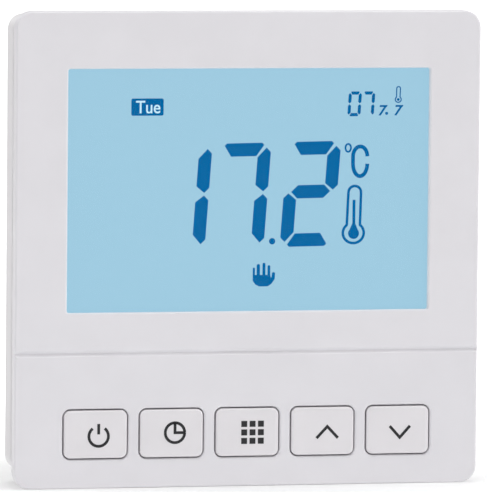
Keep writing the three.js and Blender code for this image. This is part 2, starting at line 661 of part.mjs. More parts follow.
function makeTerminalBlock() {
  const halfWidth = (POLES * POLE_PITCH) / 2;
  const { bottomZ, topZ, frontY, backY, screwZ } = TERMINAL;
  const block = box([-halfWidth, halfWidth], [frontY, backY], [bottomZ, topZ]);
  const [ledgeFront, ledgeBack] = TERMINAL_LEDGE;
  const reach = CLAMP.halfWidth + CHAMBER_GAP.side;
  const chamberDepths = [CLAMP.frontY - CHAMBER_GAP.front, ledgeFront];
  const chamberZs = [CLAMP.bottomZ - CHAMBER_GAP.end, CLAMP.topZ + CHAMBER_GAP.end];
  const entryZs = [bottomZ - OVERSHOOT, chamberZs[0] + 0.1];
  const shankDepths = [ledgeFront - 0.1, ledgeBack + 0.1];
  const headDepths = [ledgeBack, backY + OVERSHOOT];
  const tools = [];
  for (let i = 0; i < POLES; i += 1) {
    const x = poleX(i);
    const entry = [x - WIRE_ENTRY.halfWidth, x + WIRE_ENTRY.halfWidth];
    tools.push(
      box([x - reach, x + reach], chamberDepths, chamberZs),
      box(entry, WIRE_ENTRY.depths, entryZs),
      rodY(TERMINAL_SCREW.shank + 0.25, x, screwZ, shankDepths),
      rodY(TERMINAL_SCREW.head + 0.3, x, screwZ, headDepths, 20),
    );
  }
  return cut(block, tools);
}

// The screw stays at one depth when it turns, and draws its clamp towards its head.
function makeTerminalScrew() {
  const { head, headY, shank, endY } = TERMINAL_SCREW;
  const solids = [rodY(head, 0, 0, headY, 20), rodY(shank, 0, 0, [endY, headY[0] + 0.2])];
  return cut(join(solids), crossSlot([headY[1] - 0.7, headY[1] + 0.5], 1.4, 0.6));
}

// A cage around the wire, with a threaded hole in the wall nearest the screw head.
function makeTerminalClamp() {
  const { halfWidth, wall, frontY, backY } = CLAMP;
  const zs = [CLAMP.bottomZ - TERMINAL.screwZ, CLAMP.topZ - TERMINAL.screwZ];
  const cage = box([-halfWidth, halfWidth], [frontY, backY], zs);
  const throatZs = [zs[0] - OVERSHOOT, zs[1] + OVERSHOOT];
  const throat = box([-halfWidth + wall, halfWidth - wall], [frontY + wall, backY - wall], throatZs);
  const thread = rodY(TERMINAL_SCREW.shank + 0.2, 0, 0, [backY - wall - 0.5, backY + OVERSHOOT]);
  return cut(cage, [throat, thread]);
}

// ---------------------------------------------------------------- assembly

function place(mesh, x, z) {
  mesh.position.set(x, 0, z);
  return mesh;
}

function frontHalf() {
  const group = new THREE.Group();
  group.add(
    piece("front_cover", makeFrontCover(), FINISH.whitePlastic),
    piece("display_lens", makeLens(), FINISH.clearPlastic),
    piece("lcd_cell", makeCell(), FINISH.displayGlass),
    piece("lcd_holder", makeHolder(), FINISH.opalSheet),
    piece("diffuser_sheet", makeGuideSheet(DIFFUSER_Y, LAYERS.diffuser), FINISH.opalSheet),
    piece("light_guide", makeGuideSheet(GUIDE_Y, LAYERS.guide), FINISH.clearPlastic),
    piece("reflector_sheet", makeGuideSheet(REFLECTOR_Y, LAYERS.reflector), FINISH.opalSheet),
    piece("zebra_strip", makeZebraStrip(), FINISH.greyRubber),
    piece("backlight_led_left", makeBacklight(-1), FINISH.yellowPlastic),
    piece("backlight_led_right", makeBacklight(1), FINISH.yellowPlastic),
    piece("display_board", makeDisplayBoard(), FINISH.circuitBoard),
    place(piece("microcontroller", makeMicrocontroller(), FINISH.blackPlastic), ...CHIP.at),
    place(piece("clock_crystal", makeCrystal(), FINISH.steel), ...CRYSTAL.at),
    place(piece("backup_cell", makeBackupCell(), FINISH.steel), ...BACKUP_CELL.at),
    place(piece("cell_clip", makeCellClip(), FINISH.brass), ...BACKUP_CELL.at),
    place(piece("air_sensor", makeAirSensor(), FINISH.blackPlastic), ...AIR_SENSOR.at),
    piece("board_header", makeHeader(), FINISH.blackPlastic),
  );
  KEYS.forEach((key, i) => {
    group.add(
      place(piece(`${key}_key`, makeKey(), FINISH.whitePlastic), keyX(i), KEY_ROW_Z),
      place(piece(`key_switch_${i + 1}`, makeSwitch(), FINISH.blackPlastic), keyX(i), KEY_ROW_Z),
      place(piece(`key_plunger_${i + 1}`, makePlunger(), FINISH.redPlastic), keyX(i), KEY_ROW_Z),
    );
  });
  BOARD_SCREWS.forEach(([x, z], i) => {
    group.add(place(piece(`board_screw_${i + 1}`, makeBoardScrew(), FINISH.steel), x, z));
  });
  return group;
}

function base() {
  const group = new THREE.Group();
  group.add(
    piece("base_plate", makeBasePlate(), FINISH.whitePlastic),
    piece("rear_housing", makeRearHousing(), FINISH.whitePlastic),
    piece("power_board", makePowerBoard(), FINISH.circuitBoard),
    piece("socket_header", makeSocket(), FINISH.blackPlastic),
    piece("relay", makeCase(RELAY), FINISH.bluePlastic),
    piece("transformer", makeTransformer(), FINISH.yellowPlastic),
    piece("film_capacitor", makeCase(FILM_CAPACITOR), FINISH.redPlastic),
    piece("smoothing_capacitor", makeSmoothingCapacitor(), FINISH.blackPlastic),
    piece("varistor", makeVaristor(), FINISH.bluePlastic),
    piece("fuse", makeFuse(), FINISH.steel),
    piece("terminal_block", makeTerminalBlock(), FINISH.greenPlastic),
  );
  housingScrewPlaces().forEach(([x, z], i) => {
    group.add(place(piece(`housing_screw_${i + 1}`, makeHousingScrew(), FINISH.steel), x, z));
  });
  for (let i = 0; i < POLES; i += 1) {
    const screw = piece(`terminal_screw_${i + 1}`, makeTerminalScrew(), FINISH.steel);
    const clamp = piece(`terminal_clamp_${i + 1}`, makeTerminalClamp(), FINISH.brass);
    group.add(place(screw, poleX(i), TERMINAL.screwZ), place(clamp, poleX(i), TERMINAL.screwZ));
  }
  return group;
}

const timer = new THREE.Group();
timer.add(frontHalf(), base());

export default timer;
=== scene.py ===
"""Looks of a programmable wall timer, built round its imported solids.

Everything is in metres and in the frame of the solids: X points right, Y points into the wall and Z
points up. The front half has negative Y, and the housing behind the base plate has positive Y.
"""

import json
import logging
import math
from contextlib import contextmanager
from dataclasses import dataclass
from enum import Enum
from typing import Callable, Iterator, Protocol, Sequence

import bpy
from mathutils import Matrix, Vector


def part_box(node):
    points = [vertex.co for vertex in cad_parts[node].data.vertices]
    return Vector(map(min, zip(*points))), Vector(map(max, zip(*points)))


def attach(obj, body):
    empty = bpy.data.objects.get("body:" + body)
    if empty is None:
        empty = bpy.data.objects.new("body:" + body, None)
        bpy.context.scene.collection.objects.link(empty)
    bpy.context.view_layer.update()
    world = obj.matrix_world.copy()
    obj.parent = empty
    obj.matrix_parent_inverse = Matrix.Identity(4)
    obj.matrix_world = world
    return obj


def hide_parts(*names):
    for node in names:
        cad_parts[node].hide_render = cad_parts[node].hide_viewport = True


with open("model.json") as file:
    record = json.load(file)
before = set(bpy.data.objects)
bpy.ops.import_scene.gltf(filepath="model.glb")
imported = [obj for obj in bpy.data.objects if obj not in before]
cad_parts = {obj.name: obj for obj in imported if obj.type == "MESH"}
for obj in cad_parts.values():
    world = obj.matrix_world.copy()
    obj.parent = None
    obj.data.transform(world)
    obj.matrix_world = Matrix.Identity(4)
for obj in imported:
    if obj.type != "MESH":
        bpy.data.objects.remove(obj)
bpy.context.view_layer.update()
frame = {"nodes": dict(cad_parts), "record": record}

log = logging.getLogger("wall_timer")

MM = 0.001
# Two places nearer than this are the same place.
TOUCH = 1e-6
# A cutting tool reaches this far past the surface it cuts.
OVERSHOOT = 1 * MM
# Faces that meet at less than this angle are shaded as one smooth surface.
SMOOTH_ANGLE = math.radians(32)
# Faces that meet at less than this angle are one flat face.
FLAT_ANGLE = math.radians(1)

QUARTER_TURN = math.pi / 2
# Steps round each corner of a plate.
CORNER_SEGMENTS = 8

# How far a line's sharp corner may reach out, as the smallest share of its half width.
LINE_MITRE = 0.3
WALL_MITRE = 0.4
# The solids that each body carries.
BODIES = frame["record"]["behaviour"]["bodies"]

Point = tuple[float, float]
Piece = bpy.types.Object
Socket = bpy.types.NodeSocket


# ------------------------------------------------------------------ modelling helpers


class Join(Enum):
    """How one solid is combined with another."""

    CUT = "DIFFERENCE"
    FUSE = "UNION"


def only(piece: Piece) -> None:
    """Selects one piece alone and makes it the active one."""
    bpy.ops.object.select_all(action="DESELECT")
    bpy.context.view_layer.objects.active = piece
    piece.select_set(True)


@contextmanager
def editing(piece: Piece, element: str) -> Iterator[None]:
    """Opens a piece in edit mode with what was picked in it still selected.

    Args:
        piece: The mesh object to edit.
        element: VERT, EDGE or FACE, the kind of element that was picked.
    """
    modes = ("VERT", "EDGE", "FACE")
    bpy.context.tool_settings.mesh_select_mode = tuple(m == element for m in modes)
    only(piece)
    bpy.ops.object.mode_set(mode="EDIT")
    try:
        yield
    finally:
        bpy.ops.object.mode_set(mode="OBJECT")


def pick_edges(piece: Piece, wanted: Callable[[Vector, Vector], bool]) -> None:
    """Picks the edges whose two ends meet a test, and nothing else."""
    mesh = piece.data
    for part in (*mesh.vertices, *mesh.polygons):
        part.select = False
    for edge in mesh.edges:
        start, end = (mesh.vertices[i].co for i in edge.vertices)
        edge.select = wanted(start, end)


def pick_faces(piece: Piece, wanted: Callable[[Vector, Vector], bool]) -> None:
    """Picks the faces whose centre and normal meet a test, and nothing else."""
    mesh = piece.data
    for part in (*mesh.vertices, *mesh.edges):
        part.select = False
    for face in mesh.polygons:
        face.select = wanted(face.center, face.normal)


def pick_rims(piece: Piece, y: float, within: Callable[[Vector], bool]) -> None:
    """Picks the sharp edges that lie in the plane at one depth.

    Args:
        piece: The mesh object.
        y: The depth of the plane.
        within: A test that both ends of an edge must pass.
    """
    mesh = piece.data
    normals: dict[tuple[int, int], list[Vector]] = {}
    for face in mesh.polygons:
        for key in face.edge_keys:
            normals.setdefault(key, []).append(face.normal)
    for part in (*mesh.vertices, *mesh.polygons):
        part.select = False
    for edge in mesh.edges:
        ends = [mesh.vertices[i].co for i in edge.vertices]
        flat = all(abs(end.y - y) < TOUCH and within(end) for end in ends)
        sides = normals.get(tuple(sorted(edge.vertices)), [])
        sharp = len(sides) == 2 and sides[0].angle(sides[1], 0) > SMOOTH_ANGLE
        edge.select = flat and sharp


def bevel_picked(piece: Piece, width: float, segments: int) -> None:
    """Rounds the picked edges of a piece."""
    with editing(piece, "EDGE"):
        bpy.ops.mesh.bevel(
            offset=width, segments=segments, profile=0.5, affect="EDGES", clamp_overlap=False
        )


def along_y(start: Vector, end: Vector) -> bool:
    """Says whether an edge runs straight from front to back."""
    return abs(start.x - end.x) < TOUCH and abs(start.z - end.z) < TOUCH


def in_plane(y: float) -> Callable[[Vector, Vector], bool]:
    """Gives the test that both ends of an edge lie at one depth."""
    return lambda start, end: abs(start.y - y) < TOUCH and abs(end.y - y) < TOUCH


def name_piece(name: str) -> Piece:
    """Names the object just added, puts its place in its mesh and returns it."""
    piece = bpy.context.object
    piece.name = piece.data.name = name
    bpy.ops.object.transform_apply(location=True, rotation=True, scale=True)
    return piece


def block(name: str, low: Sequence[float], high: Sequence[float]) -> Piece:
    """Adds a box between its lowest and its highest corner."""
    low, high = Vector(low), Vector(high)
    bpy.ops.object.select_all(action="DESELECT")
    bpy.ops.mesh.primitive_cube_add(size=1, location=(low + high) / 2, scale=high - low)
    return name_piece(name)


def plate(name: str, low: Sequence[float], high: Sequence[float], corner: float) -> Piece:
    """Adds a box whose four edges along Y are rounded."""
    piece = block(name, low, high)
    pick_edges(piece, along_y)
    bevel_picked(piece, corner, CORNER_SEGMENTS)
    return piece


def rod(name: str, centre: Point, radius: float, depths: Point, sides: int = 32) -> Piece:
    """Adds a round bar along Y.

    Args:
        name: The piece's name.
        centre: X and Z of its axis.
        radius: Its radius.
        depths: The depths of its front and back ends.
        sides: The number of flats round it.

    Returns:
        The bar.
    """
    front, back = depths
    bpy.ops.object.select_all(action="DESELECT")
    bpy.ops.mesh.primitive_cylinder_add(
        vertices=sides,
        radius=radius,
        depth=back - front,
        location=(centre[0], (front + back) / 2, centre[1]),
        rotation=(QUARTER_TURN, 0, 0),
    )
    return name_piece(name)


def combine(piece: Piece, tools: Sequence[Piece], how: Join) -> Piece:
    """Cuts tools out of a piece or fuses them with it, and removes the tools."""
    for tool in tools:
        step = piece.modifiers.new(how.name, "BOOLEAN")
        step.operation = how.value
        step.solver = "EXACT"
        step.object = tool
        only(piece)
        bpy.ops.object.modifier_apply(modifier=step.name)
        bpy.data.objects.remove(tool, do_unlink=True)
    return piece


def flat_shape(name: str, outline: Sequence[Point], depths: Point) -> Piece:
    """Adds a flat shape with a thickness along Y.

    Args:
        name: The piece's name.
        outline: X and Z of its corners, in order.
        depths: The depths of its front and its back.

    Returns:
        The shape as a closed solid.
    """
    front, back = depths
    bpy.ops.object.select_all(action="DESELECT")
    bpy.ops.mesh.primitive_circle_add(vertices=len(outline), radius=MM, fill_type="NGON")
    piece = name_piece(name)
    for vertex, (x, z) in zip(piece.data.vertices, outline):
        vertex.co = (x, back, z)
    pick_faces(piece, lambda centre, normal: True)
    with editing(piece, "FACE"):
        bpy.ops.mesh.extrude_region_move(
            TRANSFORM_OT_translate={"value": (0, front - back, 0)}
        )
        bpy.ops.mesh.select_all(action="SELECT")
        bpy.ops.mesh.normals_make_consistent(inside=False)
    return piece


def merge_into(name: str, parts: Sequence[Piece]) -> Piece:
    """Joins several objects into one, without fusing their meshes."""
    only(parts[0])
    for part in parts:
        part.select_set(True)
    bpy.ops.object.join()
    piece = bpy.context.object
    piece.name = piece.data.name = name
    return piece


def copy_piece(piece: Piece, name: str, move: Sequence[float]) -> Piece:
    """Copies a piece with its own mesh, moved by an offset."""
    twin = piece.copy()
    twin.data = piece.data.copy()
    twin.name = twin.data.name = name
    bpy.context.scene.collection.objects.link(twin)
    twin.data.transform(Matrix.Translation(Vector(move)))
    return twin


def smooth(piece: Piece) -> Piece:
    """Shades rounded faces smoothly and keeps the flat ones flat."""
    only(piece)
    bpy.ops.object.shade_smooth_by_angle(angle=SMOOTH_ANGLE)
    step = piece.modifiers.new("flat_faces", "WEIGHTED_NORMAL")
    step.keep_sharp = True
    bpy.ops.object.modifier_apply(modifier=step.name)
    return piece


# ------------------------------------------------------------------ outlines


def arc(centre: Point, radius: Point, start: float, end: float, steps: int) -> list[Point]:
    """Gives points on an arc.

    Args:
        centre: X and Z of the middle.
        radius: The radii along X and along Z.
        start: The angle of the first point in degrees, from +X towards +Z.
        end: The angle of the last point in degrees.
        steps: The number of steps between the first and the last point.

    Returns:
        The points from start to end, both included.
    """
    angles = [math.radians(start + (end - start) * i / steps) for i in range(steps + 1)]
    return [
        (centre[0] + radius[0] * math.cos(a), centre[1] + radius[1] * math.sin(a))
        for a in angles
    ]


def stroke(path: Sequence[Point], width: float) -> list[Point]:
    """Gives the outline of a line of one width with flat ends and mitred corners.

    Args:
        path: The middle of the line.
        width: The width of the line.

    Returns:
        The outline, down one side of the path and back up the other.
    """
    points = [Vector(p) for p in path]
    left: list[Point] = []
    right: list[Point] = []
    for i, point in enumerate(points):
        before = (point - points[i - 1]).normalized() if i else None
        after = (points[i + 1] - point).normalized() if i + 1 < len(points) else None
        first, second = before or after, after or before
        direction = (first + second).normalized()
        side = Vector((-direction.y, direction.x))
        reach = width / 2 / max(side.dot(Vector((-first.y, first.x))), LINE_MITRE)
        left.append(tuple(point + side * reach))
        right.append(tuple(point - side * reach))
    return left + right[::-1]


def scaled(outline: Sequence[Point], origin: Point, size: float = MM) -> list[Point]:
    """Scales an outline and moves it to its origin."""
    return [(origin[0] + x * size, origin[1] + z * size) for x, z in outline]


# ------------------------------------------------------------------ finishes


def linear(code: str) -> tuple[float, float, float, float]:
    """Turns a colour written as six hex digits into linear light."""
    parts = [int(code[i : i + 2], 16) / 255 for i in (0, 2, 4)]
    light = [p / 12.92 if p <= 0.04045 else ((p + 0.055) / 1.055) ** 2.4 for p in parts]
    return (*light, 1)


class Recipe:
    """A material's node tree while it is being put together."""

    def __init__(self, name: str) -> None:
        """Starts a material that has a Principled shader and Object coordinates."""
        self.material = bpy.data.materials.new(name)
        self.material.use_nodes = True
        self.tree = self.material.node_tree
        self.shader = self.tree.nodes["Principled BSDF"]
        self.coordinates = self.tree.nodes.new("ShaderNodeTexCoord").outputs["Object"]

    def set(self, **values: object) -> None:
        """Sets the shader's own sockets; an underscore stands for a space."""
        for name, value in values.items():
            self.shader.inputs[name.replace("_", " ")].default_value = value

    def mapped(self, scale: Sequence[float]) -> Socket:
        """Gives the coordinates stretched by a scale on each axis."""
        node = self.tree.nodes.new("ShaderNodeMapping")
        node.inputs["Scale"].default_value = scale
        self.tree.links.new(self.coordinates, node.inputs["Vector"])
        return node.outputs["Vector"]

    def noise(
        self, size: float, detail: float = 2, stretch: Sequence[float] = (1, 1, 1)
    ) -> Socket:
        """Gives a noise between 0 and 1.

        Args:
            size: The size of its spots in metres.
            detail: How many finer layers it has.
            stretch: How much its frequency grows on each axis.

        Returns:
            The noise's value.
        """
        node = self.tree.nodes.new("ShaderNodeTexNoise")
        node.inputs["Scale"].default_value = 1 / size
        node.inputs["Detail"].default_value = detail
        self.tree.links.new(self.mapped(stretch), node.inputs["Vector"])
        return node.outputs["Fac"]

    def blend(
        self,
        share: Socket,
        first: Sequence[float],
        second: Sequence[float],
        edges: Point = (0.35, 0.65),
    ) -> Socket:
        """Blends two colours by a value between 0 and 1.

        Args:
            share: The value.
            first: The colour at the low edge and below.
            second: The colour at the high edge and above.
            edges: The values between which the colours blend.

        Returns:
            The colour.
        """
        node = self.tree.nodes.new("ShaderNodeValToRGB")
        for stop, place, colour in zip(node.color_ramp.elements, edges, (first, second)):
            stop.position = place
            stop.color = colour
        self.tree.links.new(share, node.inputs["Fac"])
        return node.outputs["Color"]

    def spread(self, value: Socket, low: float, high: float) -> Socket:
        """Spreads a value between 0 and 1 over another range."""
        node = self.tree.nodes.new("ShaderNodeMapRange")
        node.inputs["To Min"].default_value = low
        node.inputs["To Max"].default_value = high
        self.tree.links.new(value, node.inputs["Value"])
        return node.outputs["Result"]

    def link(self, value: Socket, socket: str) -> None:
        """Links a value to one of the shader's sockets."""
        self.tree.links.new(value, self.shader.inputs[socket])

    def relief(self, height: Socket, depth: float, strength: float = 1) -> None:
        """Raises the surface by a height, with the full depth in metres."""
        node = self.tree.nodes.new("ShaderNodeBump")
        node.inputs["Distance"].default_value = depth
        node.inputs["Strength"].default_value = strength
        self.tree.links.new(height, node.inputs["Height"])
        self.link(node.outputs["Normal"], "Normal")


class Finish(Protocol):
    """What every finish has: a name and a way to build its material."""

    name: str

    def material(self) -> bpy.types.Material:
        """Builds the material."""


def shade(colour: Sequence[float], factor: float) -> tuple[float, ...]:
    """Makes a colour lighter or darker."""
    return (*[min(part * factor, 1) for part in colour[:3]], 1)


@dataclass(frozen=True)
class Moulding:
    """A moulded plastic or rubber with a fine eroded grain.

    Fields:
        name: The material's name.
        colour: Its colour as six hex digits.
        roughness: How matt it is.
        grain: The size of the grain's spots.
        depth: The depth of the grain.
        mottle: How far the colour strays either way.
        glow: How strongly it is lit from behind.
        gloss: How strongly it mirrors its surroundings; half is a plain plastic.
    """

    name: str
    colour: str
    roughness: float = 0.45
    grain: float = 0.35 * MM
    depth: float = 0.004 * MM
    mottle: float = 0.012
    glow: float = 0
    gloss: float = 0.5

    def material(self) -> bpy.types.Material:
        """Builds the material."""
        recipe = Recipe(self.name)
        colour = linear(self.colour)
        tint = recipe.blend(
            recipe.noise(25 * self.grain, 3),
            shade(colour, 1 - self.mottle),
            shade(colour, 1 + self.mottle),
        )
        recipe.link(tint, "Base Color")
        grain = recipe.noise(self.grain, 4)
        recipe.link(
            recipe.spread(grain, self.roughness - 0.06, self.roughness + 0.06), "Roughness"
        )
        recipe.relief(grain, self.depth)
        recipe.set(Emission_Color=colour, Emission_Strength=self.glow)
        recipe.set(Specular_IOR_Level=self.gloss)
        return recipe.material


@dataclass(frozen=True)
class ClearPlastic:
    """A clear moulding: mostly see-through, with a faint sheen on its surface.

    Fields:
        name: The material's name.
        colour: Its colour as six hex digits.
        alpha: How much of what is behind it is hidden.
        roughness: How matt its surface is.
    """

    name: str
    colour: str
    alpha: float = 0.06
    roughness: float = 0.08

    def material(self) -> bpy.types.Material:
        """Builds the material."""
        recipe = Recipe(self.name)
        recipe.set(Base_Color=linear(self.colour), Alpha=self.alpha)
        waves = recipe.noise(6 * MM, 1)
        recipe.link(recipe.spread(waves, self.roughness, self.roughness + 0.04), "Roughness")
        return recipe.material


@dataclass(frozen=True)
class Metal:
    """A plated or drawn metal with fine marks along one axis.

    Fields:
        name: The material's name.
        colour: Its colour as six hex digits.
        roughness: How matt it is.
        marks: How much finer the marks are on each axis.
    """

    name: str
    colour: str
    roughness: float = 0.3
    marks: tuple[float, float, float] = (1, 1, 1)

    def material(self) -> bpy.types.Material:
        """Builds the material."""
        recipe = Recipe(self.name)
        colour = linear(self.colour)
        recipe.set(Metallic=1)
        marks = recipe.noise(0.4 * MM, 4, self.marks)
        recipe.link(recipe.blend(marks, shade(colour, 0.9), shade(colour, 1.05)), "Base Color")
        recipe.link(recipe.spread(marks, self.roughness - 0.08, self.roughness + 0.1), "Roughness")
        recipe.relief(marks, 0.003 * MM)
        return recipe.material


@dataclass(frozen=True)
class BoardLacquer:
    """A circuit board's lacquer, with straight copper tracks showing faintly through it.

    Fields:
        name: The material's name.
        colour: The lacquer's colour as six hex digits.
        track: The colour over a track.
        pitch: The spacing of the tracks.
        region: The size of the areas where the tracks run one way.
    """

    name: str
    colour: str
    track: str
    pitch: float = 1.5 * MM
    region: float = 9 * MM

    def material(self) -> bpy.types.Material:
        """Builds the material: upright tracks in some places and level ones in others."""
        recipe = Recipe(self.name)
        regions = recipe.noise(self.region, 0)
        mix = recipe.tree.nodes.new("ShaderNodeMix")
        sources = {
            "Factor": recipe.blend(regions, linear("000000"), linear("ffffff"), (0.49, 0.5)),
            "A": recipe.noise(self.pitch, 0, (1, 0.02, 0.02)),
            "B": recipe.noise(self.pitch, 0, (0.02, 0.02, 1)),
        }
        for name, value in sources.items():
            recipe.tree.links.new(value, mix.inputs[name])
        tracks = recipe.blend(
            mix.outputs["Result"], linear(self.colour), linear(self.track), (0.52, 0.55)
        )
        recipe.link(tracks, "Base Color")
        recipe.link(recipe.spread(recipe.noise(0.5 * MM), 0.3, 0.42), "Roughness")
        return recipe.material


@dataclass(frozen=True)
class BackLitFace:
    """The face of a back-lit display: an even colour, lit from behind.

    Fields:
        name: The material's name.
        colour: Its colour as six hex digits.
        lit: How much of the colour comes from behind.
        body: How much of it comes from the light that falls on the face.
    """

    name: str
    colour: str
    lit: float
    body: float

    def material(self) -> bpy.types.Material:
        """Builds the material."""
        recipe = Recipe(self.name)
        colour = linear(self.colour)
        body = shade(colour, self.body)
        cloud = recipe.noise(30 * MM, 1)
        recipe.link(recipe.blend(cloud, shade(body, 0.99), shade(body, 1.01)), "Base Color")
        recipe.link(recipe.spread(recipe.noise(0.2 * MM), 0.5, 0.6), "Roughness")
        recipe.set(Emission_Color=colour, Emission_Strength=self.lit)
        recipe.set(Specular_IOR_Level=0.2)
        return recipe.material


WHITE_COVER = Moulding("white_cover", "dddbdf", 0.42)
WHITE_KEYS = Moulding("white_keys", "dedbde", 0.4, 0.25 * MM)
WHITE_BASE = Moulding("white_base", "dfdddf", 0.5, 0.4 * MM, 0.006 * MM)
CLEAR_WINDOW = ClearPlastic("clear_window", "2a3236", 0.05)
CLEAR_GUIDE = ClearPlastic("clear_guide", "e4f0f4", 0.25, 0.1)
OPAL = Moulding("opal_plastic", "e9ebea", 0.45)
LCD_FACE = BackLitFace("display_face", "9fcce2", 1.03, 0.05)
SEGMENT_INK = Moulding("segment_ink", "0066a3", 0.6, 0.2 * MM, 0.0005 * MM, 0.01, 0.2, 0)
BADGE_LETTERS = Moulding("badge_letters", "b9dcea", 0.5, 0.2 * MM, 0.0005 * MM, 0.01, 0.4)
KEY_INK = Moulding("key_ink", "17161a", 0.6, 0.15 * MM, 0.001 * MM)
GREY_RUBBER = Moulding("grey_rubber", "4a4c50", 0.8)
BLACK_PLASTIC = Moulding("black_plastic", "1d1d1f", 0.5, 0.3 * MM, 0.008 * MM, 0.08)
RED_PLASTIC = Moulding("red_plastic", "a03527", 0.4)
BLUE_PLASTIC = Moulding("blue_plastic", "2a62a0", 0.4)
YELLOW_TAPE = Moulding("yellow_tape", "d9b23c", 0.35, 0.8 * MM, 0.02 * MM, 0.05)
GREEN_PLASTIC = Moulding("green_plastic", "3f8a57", 0.4)
GLASS_TUBE = ClearPlastic("glass_tube", "dfe8e6", 0.4, 0.05)
BOARD_GREEN = BoardLacquer("circuit_board", "155231", "1f6440")
ZINC = Metal("zinc_steel", "b4b6ba", 0.35)
BRIGHT_STEEL = Metal("bright_steel", "c8cacd", 0.22, (1, 8, 1))
BRASS = Metal("brass_plate", "c9a75c", 0.3, (1, 1, 6))

materials: dict[str, bpy.types.Material] = {}


def dress(piece: Piece, finish: Finish) -> None:
    """Gives a piece its finish, building the material the first time."""
    if finish.name not in materials:
        materials[finish.name] = finish.material()
    piece.data.materials.clear()
    piece.data.materials.append(materials[finish.name])


def place(
    piece: Piece, body: str, finish: Finish, replaces: Sequence[str] = (), slot: str = ""
) -> None:
    """Finishes a piece: dresses it, hangs it on its body and hides the solids that it stands for.

    Args:
        piece: The finished mesh object.
        body: The body that carries it.
        finish: Its finish.
        replaces: The solids that it stands for.
        slot: The record's material slot, if it isn't named like the finish; not used.
    """
    dress(piece, finish)
    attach(piece, body)
    if replaces:
        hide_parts(*replaces)
    log.info("%s: %d faces on %s", piece.name, len(piece.data.polygons), body)


def body_of(node: str) -> str:
    """Gives the body that carries a solid."""
    return next(body for body, nodes in BODIES.items() if node in nodes)


def numbered(stem: str, count: int) -> tuple[str, ...]:
    """Gives the names of solids that are numbered from 1."""
    return tuple(f"{stem}_{i}" for i in range(1, count + 1))


def middle_of(node: str) -> Point:
    """Gives X and Z of the middle of a solid."""
    low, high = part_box(node)
    return ((low.x + high.x) / 2, (low.z + high.z) / 2)


# ------------------------------------------------------------------ front cover


@dataclass
class KeyPlace:
    """Where one key is, worked out from its solid: the middle and the opening round it."""

    key: str
    side_margin: float = 0.425 * MM
    end_margin: float = 0.3 * MM

    @property
    def flange(self) -> tuple[Vector, Vector]:
        """The box of the key, which its flange fills."""
        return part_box(f"{self.key}_key")

    @property
    def centre(self) -> Point:
        """X and Z of the key's middle."""
        return middle_of(f"{self.key}_key")

    @property
    def opening(self) -> tuple[Point, Point]:
        """X and Z of the opening's lowest and highest corner."""
        low, high = self.flange
        return (
            (low.x + self.side_margin, low.z + self.end_margin),
            (high.x - self.side_margin, high.z - self.end_margin),
        )


KEYS = ("power", "clock", "menu", "up", "down")


